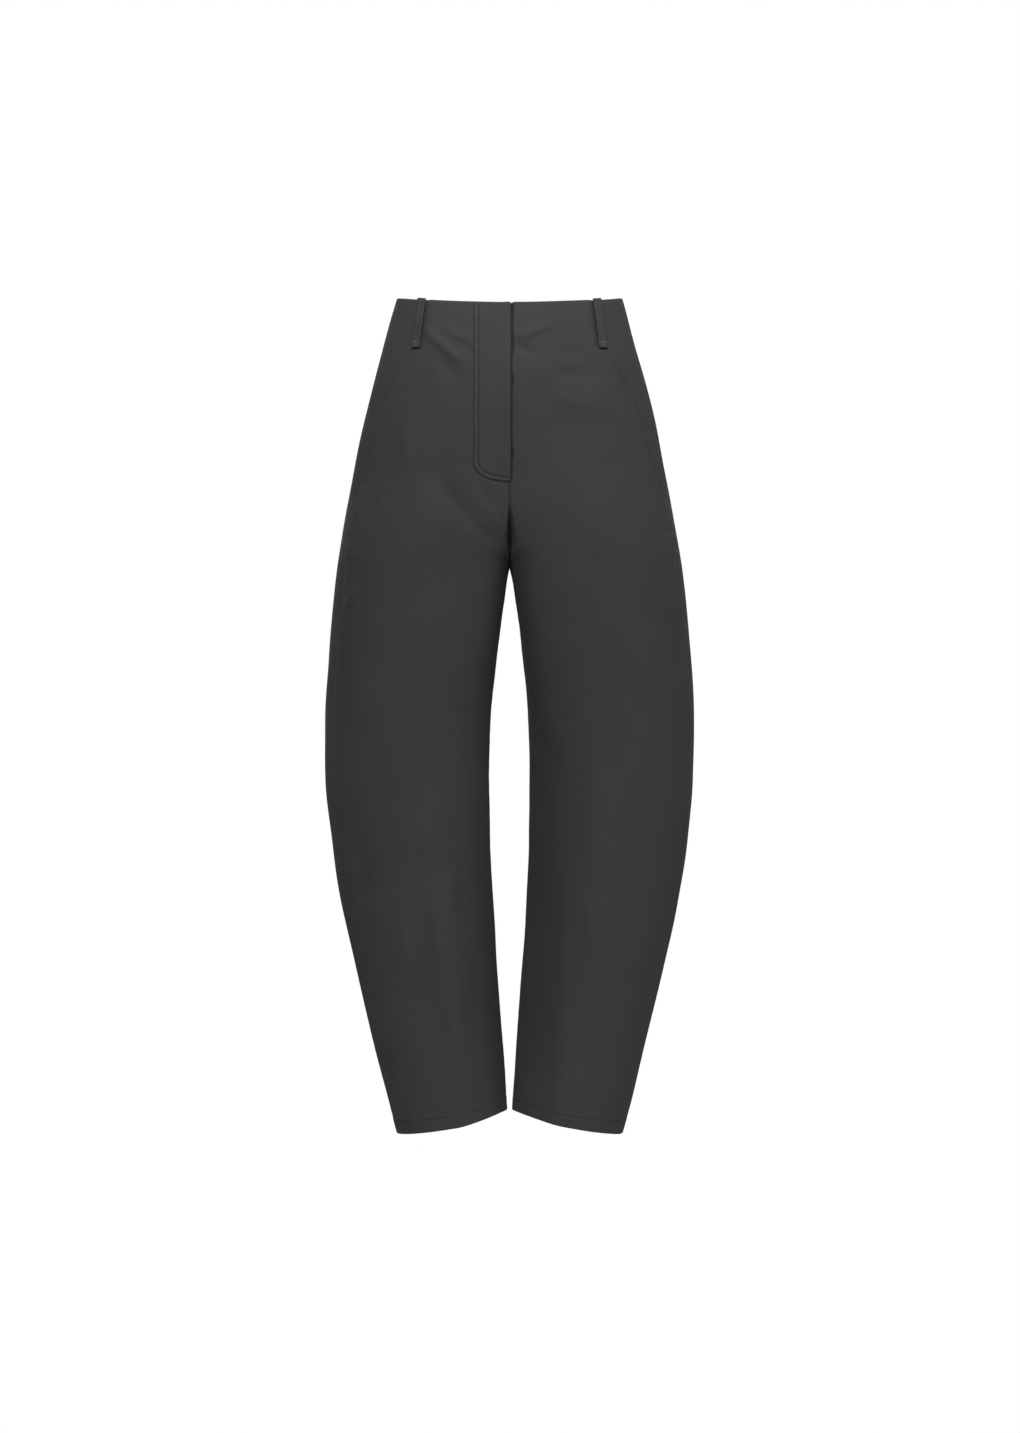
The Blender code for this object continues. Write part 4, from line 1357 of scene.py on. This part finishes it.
def belt_loop(name, x_top, x_end, face):
    """Skin, plus an arch like the root of half a sine wave, plus a wall that thickens at the foot
    and thins towards both edges by an eighth power."""
    end_from = LOOP_LENGTH - LOOP_END
    ring = np.concatenate([np.linspace(-LOOP_ABOVE_WAIST, end_from, LOOP_ROWS),
                           np.linspace(end_from + LOOP_ROW_GAP, LOOP_LENGTH, LOOP_END_ROWS)])
    share = ring / LOOP_LENGTH
    middle = x_top + (x_end - x_top) * share
    facing = np.abs(skin_at(middle, ring, face)[1][:, 1])
    across = np.linspace(-1, 1, LOOP_COLUMNS)
    x = middle[:, None] + LOOP_WIDTH / 2 * facing[:, None] * across
    points, outward = skin_at(x, ring[:, None], face)
    foot = ease((ring - end_from) / LOOP_FOLD)
    arch = LOOP_ARCH * np.sin(np.pi * np.clip(share, 0, 1)) ** 0.5 * (1 - foot)
    wall = LOOP_WALL + (LOOP_END_WALL - LOOP_WALL) * foot
    crown = wall[:, None] * (1 - LOOP_THINNED * np.abs(across) ** 8)
    inset = LOOP_WIDTH / 2 - LOOP_STITCH_INSET
    rows = bump(np.abs(across) * LOOP_WIDTH / 2 - inset, LOOP_GROOVE)[None, :]
    ends = bump(LOOP_LENGTH - ring, LOOP_FOOT_ROUNDING)
    ends = ends + bump(ring + LOOP_ABOVE_WAIST, LOOP_TOP_ROUNDING)
    wobble = LOOP_WOBBLE * uneven(ring * 1.3, x_top * 0.1)
    under = LOOP_GAP + arch[:, None] + 0 * across[None, :]
    top = under + np.maximum(crown + rows + (ends + wobble)[:, None], LOOP_LEAST)
    outer = points + outward * top[..., None]
    inner = points + outward * under[..., None]
    loop_grids[name] = (outer, grid_normals(outer, outward), across)
    # The foot is painted paler: partly rubbing, partly a painted highlight on the raised folded block.
    foot_wear_and_highlight = LOOP_FOOT_WEAR_AND_HIGHLIGHT * foot[:, None] * (1 - np.abs(across) ** 3)
    wear_and_highlight = LOOP_EDGE_WEAR * np.abs(across) ** 8 + foot_wear_and_highlight
    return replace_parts(shell(name + "_cloth", outer, inner, CLOTH, wear_and_highlight), name)


for loop_name, (x_top, x_end, face) in LOOPS.items():
    cloth_pieces[loop_name] = belt_loop(loop_name, x_top, x_end, face)
print(len(LOOPS), "belt loops")

# %% [markdown]
# ## Stitches
#
# A lockstitch shows as a row of short slanted dashes, each a few threads' widths long, with its
# ends drawn into the cloth. One small spindle of six rings is carried to every place on a line
# at once, so a row of hundreds is a single mesh.

# %% A row of stitches
STITCH_PITCH = 3.2
STITCH_LENGTH = 2.6
THREAD_WIDTH = 0.75
SPINDLE_RINGS = 6
SPINDLE_SIDES = 6
SPINDLE_LIFT = 0.16
SPINDLE_BEND = 0.34
SPINDLE_SLANT = 0.12


def even_places(line, pitch):
    """Places at one pitch along a line: lengths are added up and read back evenly."""
    lengths = row_lengths(line[None])[0]
    wanted = np.arange(pitch / 2, lengths[-1], pitch)
    return np.stack([np.interp(wanted, lengths, line[:, i]) for i in range(line.shape[1])], axis=1)


def stitches(name, lines):
    """Spindles along lines of (point, normal) rows. A spindle's width is the root of a sine of
    its length, and its middle line bends down at both ends by a square."""
    spots = [even_places(np.concatenate(line, axis=1), STITCH_PITCH) for line in lines]
    heading = unit(np.concatenate([np.gradient(row[:, :3], axis=0) for row in spots]))
    places = np.concatenate(spots)
    centre, normal = places[:, :3], unit(places[:, 3:])
    across = np.cross(heading, normal)
    t = np.linspace(-1, 1, SPINDLE_RINGS)
    around = np.linspace(0, 2 * np.pi, SPINDLE_SIDES, endpoint=False)
    radius = THREAD_WIDTH / 2 * np.sqrt(np.cos(t * np.pi / 2.15))
    along = np.repeat(t * STITCH_LENGTH / 2, SPINDLE_SIDES)
    lift = np.repeat(SPINDLE_LIFT - SPINDLE_BEND * t**2, SPINDLE_SIDES)
    lift = lift + (radius[:, None] * np.sin(around)).ravel()
    aside = (radius[:, None] * np.cos(around)).ravel() + SPINDLE_SLANT * along
    points = (centre[:, None] + along[None, :, None] * heading[:, None]
              + aside[None, :, None] * across[:, None] + lift[None, :, None] * normal[:, None])
    ring, spoke = np.meshgrid(np.arange(SPINDLE_RINGS - 1), np.arange(SPINDLE_SIDES), indexing="ij")
    a = ring * SPINDLE_SIDES + spoke
    b = ring * SPINDLE_SIDES + (spoke + 1) % SPINDLE_SIDES
    side_faces = np.stack([a, b, b + SPINDLE_SIDES, a + SPINDLE_SIDES], -1).reshape(-1, 4)
    last = (SPINDLE_RINGS - 1) * SPINDLE_SIDES
    caps = np.array([(3, 2, 1, 0), (5, 4, 3, 0), (last, last + 1, last + 2, last + 3),
                     (last, last + 3, last + 4, last + 5)])
    each = np.concatenate([side_faces, caps])
    count = SPINDLE_RINGS * SPINDLE_SIDES
    faces = (each[None] + count * np.arange(len(centre))[:, None, None]).reshape(-1, 4)
    flat = points.reshape(-1, 3)
    return mesh_object(name, flat, faces, flat[:, [0, 2]], THREAD_AND_GROOVE_SHADE)


def on_panel(name, ring, share):
    """A point and normal of a finished panel, read between its rows and columns by straight steps.
    Share runs from the inner seam, 0, to the outer one, 1, by length along the row."""
    outer, normals = PANELS[name]["outer"], PANELS[name]["normals"]
    row = np.interp(ring, RINGS, np.arange(len(RINGS)))
    low = np.clip(np.floor(row).astype(int), 0, len(RINGS) - 2)
    part = (row - low)[:, None]
    result = []
    for grid in (outer, normals):
        found = []
        for level in (low, low + 1):
            reach = row_lengths(outer[level])
            wanted = share * reach[:, -1]
            column = np.clip((reach < wanted[:, None]).sum(axis=1) - 1, 0, outer.shape[1] - 2)
            pick = np.arange(len(level))
            span = reach[pick, column + 1] - reach[pick, column]
            t = ((wanted - reach[pick, column]) / span)[:, None]
            found.append(grid[level, column] * (1 - t) + grid[level, column + 1] * t)
        result.append(found[0] * (1 - part) + found[1] * part)
    return result


def panel_girth(name, ring):
    """The length of a panel's row at any ring."""
    return np.interp(ring, RINGS, PANELS[name]["girth"])


# %% Stitches of the fly, pockets, hems and loops
J_STITCHES_FROM = 1.5
EDGE_OF_FLY = 0.1
PATH_STEPS = 30
MOUTH_POINTS = 160
MOUTH_STITCHES_FROM = 3.0
MOUTH_STITCHES_CLEAR = 8.0
HEM_POINTS = 120
HEM_SHARES = (0.01, 0.99)


def j_stitches():
    """Both rows of the J, read off the finished right front by their distance from its edge."""
    lines = []
    for width, end in zip(J_ROWS, J_ENDS):
        x, down = j_line(width, end)
        keep = x < -J_STITCHES_FROM
        x, down = x[keep], down[keep]
        steps = np.linspace(0, 1, PATH_STEPS)
        path = skin_at(-EDGE_OF_FLY + (x + EDGE_OF_FLY)[:, None] * steps, down[:, None], 1)[0]
        away = np.linalg.norm(np.diff(path, axis=1), axis=-1).sum(axis=1)
        lines.append(on_panel("front_right", down, away / panel_girth("front_right", down)))
    return stitches("fly_stitches", lines)


def mouth_stitches(side_word):
    """One row beside the pocket mouth, in the groove that the relief made for it."""
    ring = np.linspace(MOUTH_STITCHES_FROM, POCKET_END - MOUTH_STITCHES_CLEAR, MOUTH_POINTS)
    name = "front_" + side_word
    share = 1 - MOUTH_STITCH / panel_girth(name, ring)
    return stitches("pocket_stitches_" + side_word, [on_panel(name, ring, share)])


def hem_stitches(side_word):
    """A row round each leg, at the top of the turned-up hem."""
    share = np.linspace(*HEM_SHARES, HEM_POINTS)
    ring = np.full(HEM_POINTS, LENGTH - HEM_STITCH)
    lines = [on_panel(face_word + "_" + side_word, ring, share) for face_word in FACES]
    return stitches("hem_stitches_" + side_word, lines)


def loop_stitches():
    """Two rows down every loop, and a short dense bar across each foot."""
    lines = []
    for outer, normals, across in loop_grids.values():
        inset = 1 - LOOP_STITCH_INSET / (LOOP_WIDTH / 2)
        for wanted in (-inset, inset):
            column = int(np.argmin(np.abs(across - wanted)))
            lines.append([outer[2:-3, column], normals[2:-3, column]])
        for level in (-5, -8):
            lines.append([outer[level, 5:-5], normals[level, 5:-5]])
    return stitches("belt_loop_stitches", lines)


threads = {"front_right": [j_stitches()], "front_left": []}
for side_word in SIDES:
    threads["front_" + side_word].append(mouth_stitches(side_word))
    threads["front_" + side_word].append(hem_stitches(side_word))
threads["belt_loop_centre"] = [loop_stitches()]
print("rows of stitches:", sum(len(rows) for rows in threads.values()))

# %% [markdown]
# ## Each piece as a sheet of cloth
#
# Every piece was cut flat, and worn cotton bends but hardly stretches. So the flat size is the
# rectangle that the lengths along the shell's rows and columns fit into, and the area is half that
# of the shell, which has two faces.

# %% Flat sizes
LEAST_FLAT = 0.012


def flat_of(thing):
    """The width and length of the cut from the spread of the UV map, and the area of one layer."""
    uv = np.zeros(len(thing.data.loops) * 2, np.float32)
    thing.data.uv_layers["cloth"].data.foreach_get("uv", uv)
    uv = uv.reshape(-1, 2)
    size = uv.max(axis=0) - uv.min(axis=0)
    area = np.zeros(len(thing.data.polygons), np.float32)
    thing.data.polygons.foreach_get("area", area)
    return [float(value) for value in np.maximum(size, LEAST_FLAT)], float(area.sum() / 2)


for piece_name, thing in cloth_pieces.items():
    size, area = flat_of(thing)
    print(f"{piece_name}: {size[0] * 1000:.0f} by {size[1] * 1000:.0f} mm, {area:.4f} square metres")

# %% [markdown]
# ## Light and floor
#
# Dark cloth shows its folds only in soft light that has a direction. Most of it comes from one
# wide lamp in front, above the camera, which leaves the insides of the legs darker. A weak lamp
# beside the wearer's left lights that outer edge, and a long strip hangs over the waist, so that
# the waist is the brightest place. One lamp behind lights the back.
# The surroundings look white to the camera, but light the cloth with less than that, so that
# shadows stay. The floor lies low, where it is plain and holds no shadow near the trousers, and it
# is no wider than a studio's, because a boundless one would light the cloth from below.

# %% Floor
FLOOR_HEIGHT = -3000.0
FLOOR_SIZE = 5400.0
FLOOR_SIDES = 96
FLOOR_COLOUR = (0.62, 0.62, 0.62, 1)


def pale_floor():
    """A large disc of plain pale board."""
    board = Nodes("pale_floor").finish({"Base Color": FLOOR_COLOUR, "Roughness": 0.9,
                                        "Specular IOR Level": 0.1})
    around = np.linspace(0, 2 * np.pi, FLOOR_SIDES, endpoint=False)
    reach = FLOOR_SIZE / 2 * MM
    rim = [(reach * np.cos(a), reach * np.sin(a), FLOOR_HEIGHT * MM) for a in around]
    mesh = bpy.data.meshes.new("floor")
    mesh.from_pydata(rim, [], [tuple(range(FLOOR_SIDES))])
    mesh.materials.append(board)
    floor = bpy.data.objects.new("floor", mesh)
    bpy.context.scene.collection.objects.link(floor)
    return floor


floor = pale_floor()
print("floor at", FLOOR_HEIGHT, "mm")

# %% Lamps and surroundings
SEEN_STRENGTH = 1.0
LIT_STRENGTH = 0.17
SUNS = {
    "key": ((-0.04, -1.0, 0.60), 36.0, 3.6),
    "behind": ((-0.05, 1.0, 0.85), 20.0, 4.0),
    "beside": ((1.0, -0.40, 0.15), 30.0, 0.8),
}
TOP_PLACE = (0.0, -250.0, 150.0)
TOP_AIM = (0.0, -100.0, 40.0)
TOP_SIZE = (1500.0, 90.0)
TOP_POWER = 2.1


def lamp(name, kind, strength, place, towards):
    """A lamp that shines from its place along a direction. The row of a sun says where its light
    comes from, how many degrees wide the sun is, and how strong."""
    data = bpy.data.lights.new(name, kind)
    data.energy = strength
    light = bpy.data.objects.new(name, data)
    light.location = Vector(place) * MM
    light.rotation_euler = towards.to_track_quat("-Z", "Y").to_euler()
    bpy.context.scene.collection.objects.link(light)
    return data


def surroundings():
    """White where the camera looks past the trousers, and weaker as light on them."""
    world = bpy.data.worlds.new("white_surroundings")
    world.use_nodes = True
    tree = world.node_tree
    lit = tree.nodes["Background"]
    seen = tree.nodes.new("ShaderNodeBackground")
    for node, strength in ((lit, LIT_STRENGTH), (seen, SEEN_STRENGTH)):
        node.inputs["Color"].default_value = (1, 1, 1, 1)
        node.inputs["Strength"].default_value = strength
    ray = tree.nodes.new("ShaderNodeLightPath")
    choice = tree.nodes.new("ShaderNodeMixShader")
    tree.links.new(ray.outputs["Is Camera Ray"], choice.inputs["Fac"])
    tree.links.new(lit.outputs["Background"], choice.inputs[1])
    tree.links.new(seen.outputs["Background"], choice.inputs[2])
    tree.links.new(choice.outputs["Shader"], tree.nodes["World Output"].inputs["Surface"])
    bpy.context.scene.world = world


for sun_name, (comes_from, spread, strength) in SUNS.items():
    sun = lamp(sun_name, "SUN", strength, (0, 0, 0), -Vector(comes_from))
    sun.angle = np.radians(spread)
top = lamp("top", "AREA", TOP_POWER, TOP_PLACE, Vector(TOP_AIM) - Vector(TOP_PLACE))
top.shape = "RECTANGLE"
top.size, top.size_y = (side * MM for side in TOP_SIZE)
surroundings()
bpy.context.scene.view_settings.view_transform = "Standard"
print("lamps:", [light.name for light in bpy.data.lights])
